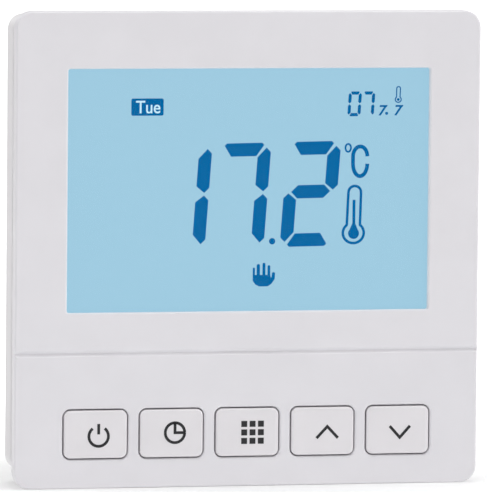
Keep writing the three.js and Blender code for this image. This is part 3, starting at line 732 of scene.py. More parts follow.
@dataclass
class FrontCover:
    """The front cover: a square face on a skirt, and a narrower neck behind it.

    Fields:
        corner: The radius of the face's corners.
        edge: The rounding of its front edge.
        skirt: How far the skirt reaches back from the face.
        wall: The thickness behind the face.
        neck_inset: How far the neck is set back from the top and the sides.
        neck_bottom_inset: How far it is set back from the bottom.
        neck_corner: The radius of its corners.
        neck_wall: The thickness of its walls.
        neck_back: The depth of its rear edge.
        window_margins: How far the window opening is inside the clear window's left, bottom,
            right and top edges.
        window_corner: The radius of the window opening's corners.
        pocket_gap: The play of the clear window in its pocket.
        opening_corner: The radius of the key openings' corners.
        opening_rim: The rounding round the window and the key openings.
        groove_z: The height of the groove across the face.
        groove_width: Its width at the face.
        groove_depth: Its depth.
        vents: The number of air slots in the top and in the bottom of the neck.
        vent_width: The width of each.
        vent_pitch: Their spacing.
        vent_depths: The depths of their front and rear ends.
        boss_radius: The radius of the screw bosses.
        boss_end: The depth that they reach to.
        hook_z: How far the snap hooks are above and below the middle.
        hook_half: Half the height of a hook.
        hook_inside: How far a hook reaches in from the neck's inner wall.
        hook_outside: How far it reaches out from there.
        lens_clearance: The gap in front of the clear window's edge.
        border: The stretch along the sides of the face that no opening reaches.
    """

    corner: float = 3 * MM
    edge: float = 0.35 * MM
    skirt: float = 2.6 * MM
    wall: float = 2 * MM
    neck_inset: float = 1.6 * MM
    neck_bottom_inset: float = 3 * MM
    neck_corner: float = 2.2 * MM
    neck_wall: float = 1.6 * MM
    neck_back: float = -5.3 * MM
    window_margins: tuple[float, float, float, float] = (1.62 * MM, 1.5 * MM, 1.55 * MM, 1.75 * MM)
    window_corner: float = 0.4 * MM
    pocket_gap: float = 0.2 * MM
    opening_corner: float = 1.4 * MM
    opening_rim: float = 0.42 * MM
    groove_z: float = -18.6 * MM
    groove_width: float = 1.1 * MM
    groove_depth: float = 0.42 * MM
    vents: int = 7
    vent_width: float = 4.5 * MM
    vent_pitch: float = 8 * MM
    vent_depths: Point = (-9.4 * MM, -7.6 * MM)
    boss_radius: float = 1.8 * MM
    boss_end: float = -7 * MM
    hook_z: float = 22 * MM
    hook_half: float = 4 * MM
    hook_inside: float = 0.6 * MM
    hook_outside: float = 0.4 * MM
    lens_clearance: float = 0.1 * MM
    border: float = 4 * MM

    def build(self) -> None:
        """Models the cover in one piece and dresses it."""
        low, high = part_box("front_cover")
        cover = self.outside(low, high)
        combine(cover, [self.hollow(low, high)], Join.CUT)
        combine(cover, self.inner_parts(), Join.FUSE)
        combine(cover, self.window_cutters(), Join.CUT)
        combine(cover, self.key_cutters(), Join.CUT)
        combine(cover, self.vent_cutters(), Join.CUT)
        self.cut_groove(cover)
        pick_rims(cover, self.front, self.near_opening)
        bevel_picked(cover, self.opening_rim, 3)
        place(smooth(cover), "front_half", WHITE_COVER, ["front_cover"])

    @property
    def front(self) -> float:
        """The depth of the face."""
        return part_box("front_cover")[0].y

    @property
    def face_back(self) -> float:
        """The depth of the face's rear side."""
        return self.front + self.wall

    def outside(self, low: Vector, high: Vector) -> Piece:
        """Models the skirt with its rounded front edge, and the neck behind it."""
        face = plate("cover", low, (high.x, self.front + self.skirt, high.z), self.corner)
        pick_edges(face, in_plane(self.front))
        bevel_picked(face, self.edge, 4)
        neck_low, neck_high = self.neck(low, high)
        neck = plate(
            "neck",
            (neck_low[0], self.front + self.wall, neck_low[1]),
            (neck_high[0], self.neck_back, neck_high[1]),
            self.neck_corner,
        )
        return combine(face, [neck], Join.FUSE)

    def neck(self, low: Vector, high: Vector) -> tuple[Point, Point]:
        """Gives X and Z of the neck's lowest and highest corner."""
        return (
            (low.x + self.neck_inset, low.z + self.neck_bottom_inset),
            (high.x - self.neck_inset, high.z - self.neck_inset),
        )

    def hollow(self, low: Vector, high: Vector) -> Piece:
        """Models the space inside the cover."""
        (left, bottom), (right, top) = self.neck(low, high)
        return plate(
            "hollow",
            (left + self.neck_wall, self.face_back, bottom + self.neck_wall),
            (right - self.neck_wall, self.neck_back + OVERSHOOT, top - self.neck_wall),
            self.neck_corner - self.neck_wall,
        )

    def inner_parts(self) -> list[Piece]:
        """Models the screw bosses and the snap hooks."""
        start = self.face_back - self.wall / 2
        parts = [
            rod("boss", middle_of(screw), self.boss_radius, (start, self.boss_end))
            for screw in numbered("board_screw", 4)
        ]
        _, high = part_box("front_cover")
        inner = high.x - self.neck_inset - self.neck_wall
        for side in (-1, 1):
            left, right = sorted(
                (side * (inner - self.hook_inside), side * (inner + self.hook_outside))
            )
            for z in (-self.hook_z, self.hook_z):
                low_corner = (left, start, z - self.hook_half)
                parts.append(block("hook", low_corner, (right, high.y, z + self.hook_half)))
        return parts

    def window_cutters(self) -> list[Piece]:
        """Models what cuts the window and the pocket of the clear window."""
        low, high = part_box("display_lens")
        gap = self.pocket_gap / 2
        pocket = block(
            "pocket",
            (low.x - gap, low.y - self.lens_clearance, low.z - gap),
            (high.x + gap, self.face_back + OVERSHOOT, high.z + gap),
        )
        left, bottom, right, top = self.window_margins
        window = plate(
            "window",
            (low.x + left, self.front - OVERSHOOT, low.z + bottom),
            (high.x - right, self.face_back + OVERSHOOT, high.z - top),
            self.window_corner,
        )
        return [pocket, window]

    def key_cutters(self) -> list[Piece]:
        """Models what cuts the five key openings."""
        cutters = []
        for key in KEYS:
            (left, bottom), (right, top) = KeyPlace(key).opening
            cutters.append(
                plate(
                    "key_opening",
                    (left, self.front - OVERSHOOT, bottom),
                    (right, self.face_back + OVERSHOOT, top),
                    self.opening_corner,
                )
            )
        return cutters

    def vent_cutters(self) -> list[Piece]:
        """Models what cuts the air slots in the top and the bottom of the neck."""
        low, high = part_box("front_cover")
        (_, bottom), (_, top) = self.neck(low, high)
        cutters = []
        for edge in (bottom + self.neck_wall / 2, top - self.neck_wall / 2):
            for i in range(self.vents):
                x = (i - (self.vents - 1) / 2) * self.vent_pitch
                cutters.append(
                    block(
                        "vent",
                        (x - self.vent_width / 2, self.vent_depths[0], edge - self.neck_wall),
                        (x + self.vent_width / 2, self.vent_depths[1], edge + self.neck_wall),
                    )
                )
        return cutters

    def cut_groove(self, cover: Piece) -> None:
        """Cuts the shallow groove across the face."""
        low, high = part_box("front_cover")
        half = self.groove_width / 2
        cutter = block(
            "groove",
            (low.x - OVERSHOOT, self.front - self.groove_depth, self.groove_z - half),
            (high.x + OVERSHOOT, self.front + self.groove_depth, self.groove_z + half),
        )
        for vertex in cutter.data.vertices:
            if vertex.co.y > self.front:
                vertex.co.z = self.groove_z
            else:
                vertex.co.z += math.copysign(half, vertex.co.z - self.groove_z)
        with editing(cutter, "VERT"):
            bpy.ops.mesh.select_all(action="SELECT")
            bpy.ops.mesh.remove_doubles(threshold=TOUCH)
        combine(cover, [cutter], Join.CUT)

    def near_opening(self, point: Vector) -> bool:
        """Says whether a point of the face belongs to the window or a key opening."""
        _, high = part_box("front_cover")
        inside = abs(point.x) < high.x - self.border
        return inside and abs(point.z - self.groove_z) > self.groove_width


# ------------------------------------------------------------------ keys


@dataclass
class Keypad:
    """Five keys, each with a cap, a flange behind the cover and its symbol.

    Fields:
        gap: The gap between a cap and its opening.
        cap_corner: The radius of a cap's corners.
        cap_edge: The rounding of its front edge.
        flange_front: The depth of the flange's front.
        flange_back: The depth of its back.
        stem_radius: The radius of the stem that presses the switch.
        ink: The thickness of the ink.
        line: The width of the symbols' lines, in millimetres.
    """

    gap: float = 0.2 * MM
    cap_corner: float = 1.2 * MM
    cap_edge: float = 0.42 * MM
    flange_front: float = -11.1 * MM
    flange_back: float = -10.3 * MM
    stem_radius: float = 1.5 * MM
    ink: float = 0.02 * MM
    line: float = 0.52

    def build(self) -> None:
        """Models the first key, copies it to the other four and adds the symbols."""
        first = KeyPlace(KEYS[0])
        master = self.model_key(first)
        keys = [master] + [
            copy_piece(master, f"{key}_cap", (KeyPlace(key).centre[0] - first.centre[0], 0, 0))
            for key in KEYS[1:]
        ]
        symbols = (self.power, self.clock, self.grid, self.up, self.down)
        for key, cap, symbol in zip(KEYS, keys, symbols):
            place(cap, f"{key}_button", WHITE_KEYS, [f"{key}_key"])
            mark = merge_into(f"{key}_symbol", symbol(KeyPlace(key).centre))
            place(mark, f"{key}_button", KEY_INK, slot=BLACK_PLASTIC.name)

    @property
    def top(self) -> float:
        """The depth of the caps' front, just behind the ink's."""
        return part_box(f"{KEYS[0]}_key")[0].y + self.ink

    def model_key(self, where: KeyPlace) -> Piece:
        """Models one key.

        Args:
            where: The place of the key.

        Returns:
            The cap, its flange and its stem as one piece.
        """
        low, high = where.flange
        (left, bottom), (right, top) = where.opening
        cap = plate(
            f"{where.key}_cap",
            (left + self.gap, self.top, bottom + self.gap),
            (right - self.gap, self.flange_back, top - self.gap),
            self.cap_corner,
        )
        pick_edges(cap, in_plane(self.top))
        bevel_picked(cap, self.cap_edge, 4)
        flange = plate(
            "flange",
            (low.x, self.flange_front, low.z),
            (high.x, self.flange_back, high.z),
            self.cap_corner,
        )
        stem = rod("stem", where.centre, self.stem_radius, (self.flange_front, high.y))
        combine(cap, [flange, stem], Join.FUSE)
        return smooth(cap)

    def inked(
        self, outlines: Sequence[Sequence[Point]], centre: Point, offset: Point
    ) -> list[Piece]:
        """Inks shapes on the front of a cap.

        Args:
            outlines: The shapes, in millimetres.
            centre: X and Z of the key's middle.
            offset: How far from there the symbol's own middle is, in millimetres.

        Returns:
            The shapes as thin solids.
        """
        at = (centre[0] + offset[0] * MM, centre[1] + offset[1] * MM)
        depths = (self.top - self.ink, self.top + self.ink)
        return [flat_shape("mark", scaled(outline, at), depths) for outline in outlines]

    def power(self, centre: Point) -> list[Piece]:
        """The power symbol: a ring open at the top, with a bar in the gap."""
        paths = (arc((0, 0), (1.8, 1.8), 128, 412, 32), [(0, 0.35), (0, 2.25)])
        return self.inked([stroke(path, self.line) for path in paths], centre, (0.55, -0.35))

    def clock(self, centre: Point) -> list[Piece]:
        """The clock symbol: a ring with two hands."""
        halves = [arc((0, 0), (1.8, 1.8), start, start + 180, 20) for start in (0, 180)]
        paths = (*halves, [(0, 1.8), (0, 0), (1.8, 0)])
        return self.inked([stroke(path, self.line) for path in paths], centre, (0.6, 0.1))

    def grid(self, centre: Point) -> list[Piece]:
        """The grid symbol: three rows of three squares."""
        half, pitch = 0.55, 1.55
        square = [(-half, -half), (half, -half), (half, half), (-half, half)]
        squares = [
            [(x + column, z + row) for x, z in square]
            for column in (-pitch, 0, pitch)
            for row in (-pitch, 0, pitch)
        ]
        return self.inked(squares, centre, (0.95, -0.05))

    def up(self, centre: Point) -> list[Piece]:
        """The up symbol: an open arrow head."""
        head = stroke([(-2, -1.05), (0, 1.05), (2, -1.05)], self.line)
        return self.inked([head], centre, (0.85, -0.25))

    def down(self, centre: Point) -> list[Piece]:
        """The down symbol: the same arrow head, upside down."""
        head = stroke([(-1.9, 1.05), (0, -1.05), (1.9, 1.05)], self.line)
        return self.inked([head], centre, (0.4, -0.35))


# ------------------------------------------------------------------ display


# The bars that each figure lights, lettered clockwise from the top, with g in the middle.
FIGURES = {
    "0": "abcdef",
    "1": "bc",
    "2": "abged",
    "7": "abc",
}


# Where the cut at a bar's outer corner bends, as a share of the corner.
BEND = 0.62


@dataclass(frozen=True)
class Figure:
    """One seven-segment figure, in millimetres.

    Fields:
        width: The width of the upright shape.
        height: Its height.
        bar: The thickness of its bars.
        corner: How much is cut off its outer corners.
        gap: Half the gap between two bars.
        slant: How far it leans to the right, in degrees.
        rise: How far its base line rises to the right, in degrees.
        waist: Where the middle bar is, as a share of the height.
    """

    width: float
    height: float
    bar: float
    corner: float
    gap: float
    slant: float
    rise: float = 0
    waist: float = 0.5

    def side(self, waist: float) -> list[Point]:
        """Gives the upper right bar above a waist at a share of the height."""
        w, h, t, c, g = self.width, self.height, self.bar, self.corner, self.gap
        middle = h * waist
        return [
            (w, h - c),
            (w - BEND * c + g, h - (1 - BEND) * c - g),
            (w - t, h - t - g),
            (w - t, middle + t / 2 + g),
            (w - c / 2, middle + g),
            (w, middle + c / 2 + g),
        ]

    def head(self) -> list[Point]:
        """Gives the top bar."""
        w, h, t, c, g = self.width, self.height, self.bar, self.corner, self.gap
        bend = (w - BEND * c - g, h - (1 - BEND) * c + g)
        half = [(w - c, h), bend, (w - t - g, h - t)]
        return half + [(w - x, z) for x, z in half[::-1]]

    def middle(self) -> list[Point]:
        """Gives the middle bar."""
        half_bar = self.bar / 2
        middle = self.height * self.waist
        tip = self.width - self.corner / 2 - 2 * self.gap
        end = tip - half_bar
        half = [(end, middle + half_bar), (tip, middle), (end, middle - half_bar)]
        return half + [(self.width - x, z) for x, z in half[::-1]]

    def bars(self, figure: str, at: Point) -> list[list[Point]]:
        """Gives the outlines of the bars that show one figure.

        Args:
            figure: The figure.
            at: X and Z of its lower left corner.

        Returns:
            One outline for each bar, slanted and placed.
        """
        upper, lower = self.side(self.waist), self.side(1 - self.waist)
        shapes = {
            "a": self.head(),
            "b": upper,
            "c": [(x, self.height - z) for x, z in lower],
            "d": [(x, self.height - z) for x, z in self.head()],
            "e": [(self.width - x, self.height - z) for x, z in lower],
            "f": [(self.width - x, z) for x, z in upper],
            "g": self.middle(),
        }
        lean, rise = math.tan(math.radians(self.slant)), math.tan(math.radians(self.rise))
        return [
            [(at[0] + x + z * lean, at[1] + z + (at[0] + x) * rise) for x, z in shapes[bar]]
            for bar in FIGURES[figure]
        ]


@dataclass
class Display:
    """The clear window, and the figures and symbols that the display shows.

    Fields:
        thickness: How far the figures stand out of the display's face.
        lens_corner: The radius of the clear window's corners.
        lens_edge: The rounding of its front edge.
        letters_at: X and Z of the lower left end of the weekday's letters.
        letters_size: Their width and height.
        letters_height: The type size that they are drawn at.
        letters_boldness: How much thicker their lines are made.
        letters_lift: Where they start, as a share of the figures' thickness.
        large: The large figures.
        small: The small figures.
    """

    thickness: float = 0.05 * MM
    lens_corner: float = 0.6 * MM
    lens_edge: float = 0.15 * MM
    letters_at: Point = (-20.65 * MM, 24.5 * MM)
    letters_size: Point = (4.5 * MM, 2.3 * MM)
    letters_height: float = 3 * MM
    letters_boldness: float = 0.03 * MM
    letters_lift: float = 1.1
    large: Figure = Figure(10.0, 19.05, 2.4, 1.75, 0.25, 4.0, 1.0, 0.523)
    small: Figure = Figure(2.45, 4.5, 0.58, 0.55, 0.08, 3.5)

    def build(self) -> None:
        """Builds the clear window and everything the display shows."""
        self.build_window()
        outlines = self.figures() + self.small_marks() + [self.letter(), self.hand()]
        shapes = [self.mark(outline) for outline in outlines] + self.rings()
        figures = merge_into("display_figures", shapes)
        place(figures, "front_half", SEGMENT_INK, slot="display_glass")
        self.build_badge()

    @property
    def face(self) -> float:
        """The depth of the display's face."""
        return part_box("lcd_cell")[0].y

    def build_window(self) -> None:
        """Models the clear window with a small rounding on its front edge."""
        low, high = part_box("display_lens")
        lens = plate("clear_window", low, high, self.lens_corner)
        pick_edges(lens, in_plane(low.y))
        bevel_picked(lens, self.lens_edge, 2)
        place(smooth(lens), "front_half", CLEAR_WINDOW, ["display_lens"])

    def mark(self, outline: Sequence[Point]) -> Piece:
        """Makes one shape, given in millimetres, on the display's face."""
        depths = (self.face - self.thickness, self.face + self.thickness)
        return flat_shape("mark", scaled(outline, (0, 0)), depths)

    def figures(self) -> list[list[Point]]:
        """Gives the bars of the large and the small figures."""
        bars = []
        for figure, x in (("1", -17.75), ("7", -6.8), ("2", 6.2)):
            bars += self.large.bars(figure, (x, 0.02))
        for figure, x in (("0", 18.6), ("7", 21.1)):
            bars += self.small.bars(figure, (x, 23.8))
        return bars

    def small_marks(self) -> list[list[Point]]:
        """Gives the decimal points, the small slanted sevens and the thermometers' filling."""
        column = [(20.3, 8.6), (19.76, 8.6), (19.76, 4.3)]
        marks = [
            arc((4.8, 1.2), (0.58, 0.58), 0, 345, 23),
            arc((25.97, 24.3), (0.28, 0.28), 0, 330, 11),
            arc((28.12, 26.81), (0.26, 0.26), 0, 330, 11),
            arc((20.0, 2.5), (1.02, 1.02), 140, 400, 22) + [(20.3, 4.3)] + column,
        ]
        for x in (24.65, 27.6):
            bar = [(x, 25.45), (x + 0.08, 25.8), (x + 1.5, 25.8), (x + 1.35, 25.45)]
            foot = [(x + 1.25, 25.45), (x + 0.2, 23.9), (x - 0.2, 23.95), (x + 0.85, 25.5)]
            marks += [bar, foot]
        return marks

    def letter(self) -> list[Point]:
        """Gives the letter beside the degree ring."""
        top = arc((21.1, 16.5), (1.34, 1.8), 0, 180, 14)
        bottom = arc((21.1, 15.15), (1.34, 2.25), 180, 360, 14)
        return stroke(top + bottom, 0.7)

    def rings(self) -> list[Piece]:
        """Makes the shapes with a hole: the degree ring and the thermometers' walls."""
        degree = arc((18.84, 18.06), (0.68, 0.88), 0, 345, 23)
        bulb = arc((19.95, 2.58), (2.2, 2.1), -228, 48, 32)
        stem = arc((20.15, 9.95), (1.42, 1.42), 0, 180, 12)
        small_bulb = arc((28.12, 26.81), (0.66, 0.62), -230, 50, 20)
        small_stem = arc((28.17, 28.8), (0.45, 0.45), 0, 180, 8)
        shapes = ((degree, 0.33), (bulb + stem, 0.48), (small_bulb + small_stem, 0.2))
        return [self.hollowed(outline, width) for outline, width in shapes]

    def hollowed(self, outline: Sequence[Point], width: float) -> Piece:
        """Makes a shape with a wall of one width round an open middle.

        Args:
            outline: The outside of the shape, in millimetres.
            width: The width of the wall, in millimetres.

        Returns:
            The shape as a closed solid.
        """
        inside = scaled(shrunk(outline, width), (0, 0))
        hole = flat_shape("hole", inside, (self.face - OVERSHOOT, self.face + OVERSHOOT))
        return combine(self.mark(outline), [hole], Join.CUT)

    def hand(self) -> list[Point]:
        """Gives the open hand in one outline: four fingers, the thumb and the palm."""
        valley = -4.9
        outline: list[Point] = [(1.25, valley)]
        for x, tip, half in (
            (1.45, -3.55, 0.2),
            (2.28, -2.9, 0.3),
            (3.33, -2.7, 0.27),
            (4.25, -3.15, 0.25),
        ):
            outline += [(x - half, valley)] if outline[-1][0] < x - half else []
            outline += arc((x, tip - half), (half, half), 180, 0, 6)
            outline += [(x + half, valley)]
        outline += [(4.62, -5.4), (4.75, -5.35), (4.85, -4.5), (5.1, -4.4), (5.4, -4.55)]
        outline += [(5.35, -5.65), (4.75, -6.5), (4.05, -6.98), (2.5, -7.0), (1.75, -6.65)]
        outline += [(1.25, -5.95)]
        return outline

    def build_badge(self) -> None:
        """Builds the weekday's badge and its letters."""
        badge = self.mark(rounded(-21.5, 24.1, -15.55, 27.2, 0.3))
        badge.name = badge.data.name = "weekday_badge"
        place(badge, "front_half", SEGMENT_INK, slot="display_glass")
        letters = self.model_letters()
        corners = [Vector(corner) for corner in letters.bound_box]
        low = Vector(map(min, *corners))
        high = Vector(map(max, *corners))
        width, height = self.letters_size
        size = Matrix.Diagonal((width / (high.x - low.x), height / (high.y - low.y), 1, 1))
        x, z = self.letters_at
        at = Matrix.Translation((x, self.face - self.letters_lift * self.thickness, z))
        upright = Matrix.Rotation(QUARTER_TURN, 4, "X")
        letters.data.transform(at @ upright @ size @ Matrix.Translation((-low.x, -low.y, 0)))
        place(letters, "front_half", BADGE_LETTERS, slot="display_glass")

    def model_letters(self) -> Piece:
        """Models the weekday's letters as a mesh that lies flat at the origin."""
        bpy.ops.object.select_all(action="DESELECT")
        bpy.ops.object.text_add()
        text = bpy.context.object.data
        text.body = "Tue"
        text.size = self.letters_height
        text.offset = self.letters_boldness
        text.extrude = self.thickness / 4
        bpy.ops.object.convert(target="MESH")
        letters = bpy.context.object
        letters.name = letters.data.name = "weekday_letters"
        return letters


def shrunk(outline: Sequence[Point], width: float) -> list[Point]:
    """Moves each point of an outline inwards, along its own normal.

    Args:
        outline: The corners in order, either way round.
        width: How far each side moves.

    Returns:
        The smaller outline.
    """
    points = [Vector(p) for p in outline]
    count = len(points)
    area = sum(points[i - 1].cross(points[i]) for i in range(count))
    turn = 1 if area > 0 else -1
    moved = []
    for i, point in enumerate(points):
        before = (point - points[i - 1]).normalized()
        after = (points[(i + 1) % count] - point).normalized()
        direction = (before + after).normalized()
        side = Vector((-direction.y, direction.x)) * turn
        reach = width / max(side.dot(Vector((-before.y, before.x)) * turn), WALL_MITRE)
        moved.append(tuple(point + side * reach))
    return moved


def rounded(left: float, bottom: float, right: float, top: float, radius: float) -> list[Point]:
    """Gives a rectangle with rounded corners."""
    corners = (
        (right - radius, top - radius, 0),
        (left + radius, top - radius, 90),
        (left + radius, bottom + radius, 180),
        (right - radius, bottom + radius, 270),
    )
    outline = []
    for x, z, start in corners:
        outline += arc((x, z), (radius, radius), start, start + 90, 4)
    return outline


# ------------------------------------------------------------------ inner parts and the back


@dataclass(frozen=True)
class RoundedCopies:
    """Solids of one finish that are shown as copies with their edges rounded.

    Fields:
        finish: Their finish.
        edge: The radius of their edges.
        nodes: The names of the solids.
    """

    finish: Finish
    edge: float
    nodes: tuple[str, ...]

    def build(self) -> None:
        """Rounds a copy of each solid and puts it in the solid's place."""
        for node in self.nodes:
            place(smooth(self.rounded(node)), body_of(node), self.finish, [node])

    def rounded(self, node: str) -> Piece:
        """Copies one solid, merges its loose triangles into flat faces and rounds its edges."""
        piece = copy_piece(frame["nodes"][node], f"{node}_rounded", (0, 0, 0))
        for face in piece.data.polygons:
            face.select = True
        with editing(piece, "FACE"):
            bpy.ops.mesh.remove_doubles(threshold=TOUCH)
            bpy.ops.mesh.dissolve_limited(angle_limit=FLAT_ANGLE)
        step = piece.modifiers.new("edges", "BEVEL")
        step.width = self.edge
        step.segments = 3
        step.limit_method = "ANGLE"
        step.angle_limit = SMOOTH_ANGLE
        step.use_clamp_overlap = True
        only(piece)
        bpy.ops.object.modifier_apply(modifier=step.name)
        return piece


@dataclass(frozen=True)
class ScrewKind:
    """One size of cross-head screw, modelled once and copied to each of its places.

    Fields:
        stem: The start of the names of its solids.
        head: The radius of its head.
        height: The height of its head.
        shank: The radius of its shank.
        front: Whether its head faces the front.
        count: How many there are.
        dome: The rounding of the head's edge, as a share of its height.
        point: The rounding of the shank's end, as a share of its radius.
        reach: Half the length of the cross, as a share of the head's radius.
        slot: Half the width of the cross's arms, as a share of the head's radius.
        recess: The depth of the cross, as a share of the head's height.
    """

    stem: str
    head: float
    height: float
    shank: float
    front: bool = False
    count: int = 4
    dome: float = 0.45
    point: float = 0.25
    reach: float = 0.7
    slot: float = 0.11
    recess: float = 0.55

    def build(self) -> None:
        """Models the first screw and copies it to the other places."""
        first, *others = numbered(self.stem, self.count)
        master = self.model(first)
        start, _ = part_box(first)
        twins = [
            copy_piece(master, f"{node}_steel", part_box(node)[0] - start) for node in others
        ]
        for node, screw in zip((first, *others), (master, *twins)):
            place(screw, body_of(node), ZINC, [node])

    def model(self, node: str) -> Piece:
        """Models one screw: a domed head with a cross recess, and a shank with a rounded end."""
        low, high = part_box(node)
        centre = middle_of(node)
        top, under, tip = low.y, low.y + self.height, high.y
        if not self.front:
            top, under, tip = high.y, high.y - self.height, low.y
        screw = rod(f"{node}_steel", centre, self.head, sorted((top, under)))
        pick_edges(screw, in_plane(top))
        bevel_picked(screw, self.dome * self.height, 4)
        shank = rod("shank", centre, self.shank, sorted((tip, (top + under) / 2)), 24)
        pick_edges(shank, in_plane(tip))
        bevel_picked(shank, self.point * self.shank, 2)
        combine(screw, [shank], Join.FUSE)
        combine(screw, self.cross(centre, top), Join.CUT)
        return smooth(screw)

    def cross(self, centre: Point, top: float) -> list[Piece]:
        """Models what cuts the cross into the head."""
        x, z = centre
        reach, half = self.reach * self.head, self.slot * self.head
        depth = self.recess * self.height
        return [
            block("slot", (x - wide, top - depth, z - high), (x + wide, top + depth, z + high))
            for wide, high in ((reach, half), (half, reach))
        ]


@dataclass
class Fuse:
    """The glass fuse: a clear tube with a plated cap at each end and a wire inside.

    Fields:
        cap_length: The length of each cap.
        wall: How much thinner and shorter the tube is than the caps, and the caps' rounding.
        wire: The radius of the wire.
    """

    cap_length: float = 1.6 * MM
    wall: float = 0.2 * MM
    wire: float = 0.12 * MM

    def build(self) -> None:
        """Models the tube, the caps and the wire."""
        low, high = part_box("fuse")
        radius = (high.y - low.y) / 2
        left, right = low.x + self.cap_length, high.x - self.cap_length
        caps = [
            self.round_bar("fuse_cap", radius, *ends) for ends in ((low.x, left), (right, high.x))
        ]
        for cap in caps:
            pick_edges(cap, lambda start, end: abs(start.x - end.x) < TOUCH)
            bevel_picked(cap, self.wall, 3)
            smooth(cap)
        wire = self.round_bar("fuse_wire", self.wire, left, right)
        place(merge_into("fuse_metal", [*caps, wire]), body_of("fuse"), BRIGHT_STEEL)
        inside = (low.x + self.wall, high.x - self.wall)
        tube = self.round_bar("fuse_glass", radius - self.wall, *inside)
        place(smooth(tube), body_of("fuse"), GLASS_TUBE, ["fuse"])

    def round_bar(self, name: str, radius: float, start: float, end: float) -> Piece:
        """Adds a round bar along X on the fuse's axis."""
        low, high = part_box("fuse")
        bpy.ops.object.select_all(action="DESELECT")
        bpy.ops.mesh.primitive_cylinder_add(
            vertices=32,
            radius=radius,
            depth=end - start,
            location=((start + end) / 2, (low.y + high.y) / 2, (low.z + high.z) / 2),
            rotation=(0, QUARTER_TURN, 0),
        )
        return name_piece(name)


INNER_PARTS = (
    RoundedCopies(WHITE_BASE, 0.3 * MM, ("base_plate", "rear_housing")),
    RoundedCopies(GREEN_PLASTIC, 0.2 * MM, ("terminal_block",)),
    RoundedCopies(BLUE_PLASTIC, 0.3 * MM, ("relay",)),
    RoundedCopies(RED_PLASTIC, 0.3 * MM, ("film_capacitor",)),
    RoundedCopies(YELLOW_TAPE, 0.25 * MM, ("transformer",)),
    RoundedCopies(BLUE_PLASTIC, 0.5 * MM, ("varistor",)),
    RoundedCopies(BLACK_PLASTIC, 0.3 * MM, ("smoothing_capacitor",)),
    RoundedCopies(BLACK_PLASTIC, 0.1 * MM, ("socket_header",)),
    RoundedCopies(BLACK_PLASTIC, 0.08 * MM, ("board_header",)),
    RoundedCopies(BLACK_PLASTIC, 0.1 * MM, ("microcontroller",)),
    RoundedCopies(OPAL, 0.15 * MM, ("lcd_holder",)),
    RoundedCopies(BRIGHT_STEEL, 0.3 * MM, ("backup_cell",)),
    RoundedCopies(BLACK_PLASTIC, 0.15 * MM, numbered("key_switch", 5)),
    RoundedCopies(RED_PLASTIC, 0.15 * MM, numbered("key_plunger", 5)),
    RoundedCopies(BRASS, 0.12 * MM, numbered("terminal_clamp", 4)),
    ScrewKind("board_screw", 1.6 * MM, 1.1 * MM, 0.8 * MM),
    ScrewKind("housing_screw", 2 * MM, 1.1 * MM, 0.8 * MM, front=True),
    ScrewKind("terminal_screw", 2 * MM, 1.4 * MM, 1.4 * MM),
    Fuse(),
)

# The solids that are shown as they are.
DRESSED: dict[Finish, tuple[str, ...]] = {
    LCD_FACE: ("lcd_cell",),
    OPAL: ("diffuser_sheet", "reflector_sheet", "backlight_led_left", "backlight_led_right"),
    CLEAR_GUIDE: ("light_guide",),
    GREY_RUBBER: ("zebra_strip",),
    BOARD_GREEN: ("display_board", "power_board"),
    BLACK_PLASTIC: ("air_sensor",),
    BRIGHT_STEEL: ("clock_crystal",),
    BRASS: ("cell_clip",),
}


def dress_solids() -> None:
    """Gives every solid that is shown as it is its finish."""
    for finish, names in DRESSED.items():
        for name in names:
            dress(frame["nodes"][name], finish)
            log.info("%s: dressed in %s", name, finish.name)


# ------------------------------------------------------------------ studio


@dataclass(frozen=True)
class Lamp:
    """A soft square lamp that faces the object: its place, its size and its power in watts."""

    name: str
    at: tuple[float, float, float]
    power: float
    size: float = 1

    def build(self) -> None:
        """Adds the lamp to the scene."""
        light = bpy.data.lights.new(self.name, "AREA")
        light.size = self.size
        light.energy = self.power
        stand = bpy.data.objects.new(self.name, light)
        stand.location = self.at
        stand.rotation_euler = (-Vector(self.at)).to_track_quat("-Z", "Y").to_euler()
        bpy.context.scene.collection.objects.link(stand)


LAMPS = (
    Lamp("above", (0.1, -0.15, 1.8), 22),
    Lamp("front", (-0.3, -1.7, 0.7), 5),
    Lamp("right", (1.8, -0.5, 0.5), 15),
    Lamp("left", (-1.8, -0.5, 0.5), 5),
    Lamp("back", (-0.9, 1.4, 1.0), 9, 1.4),
)


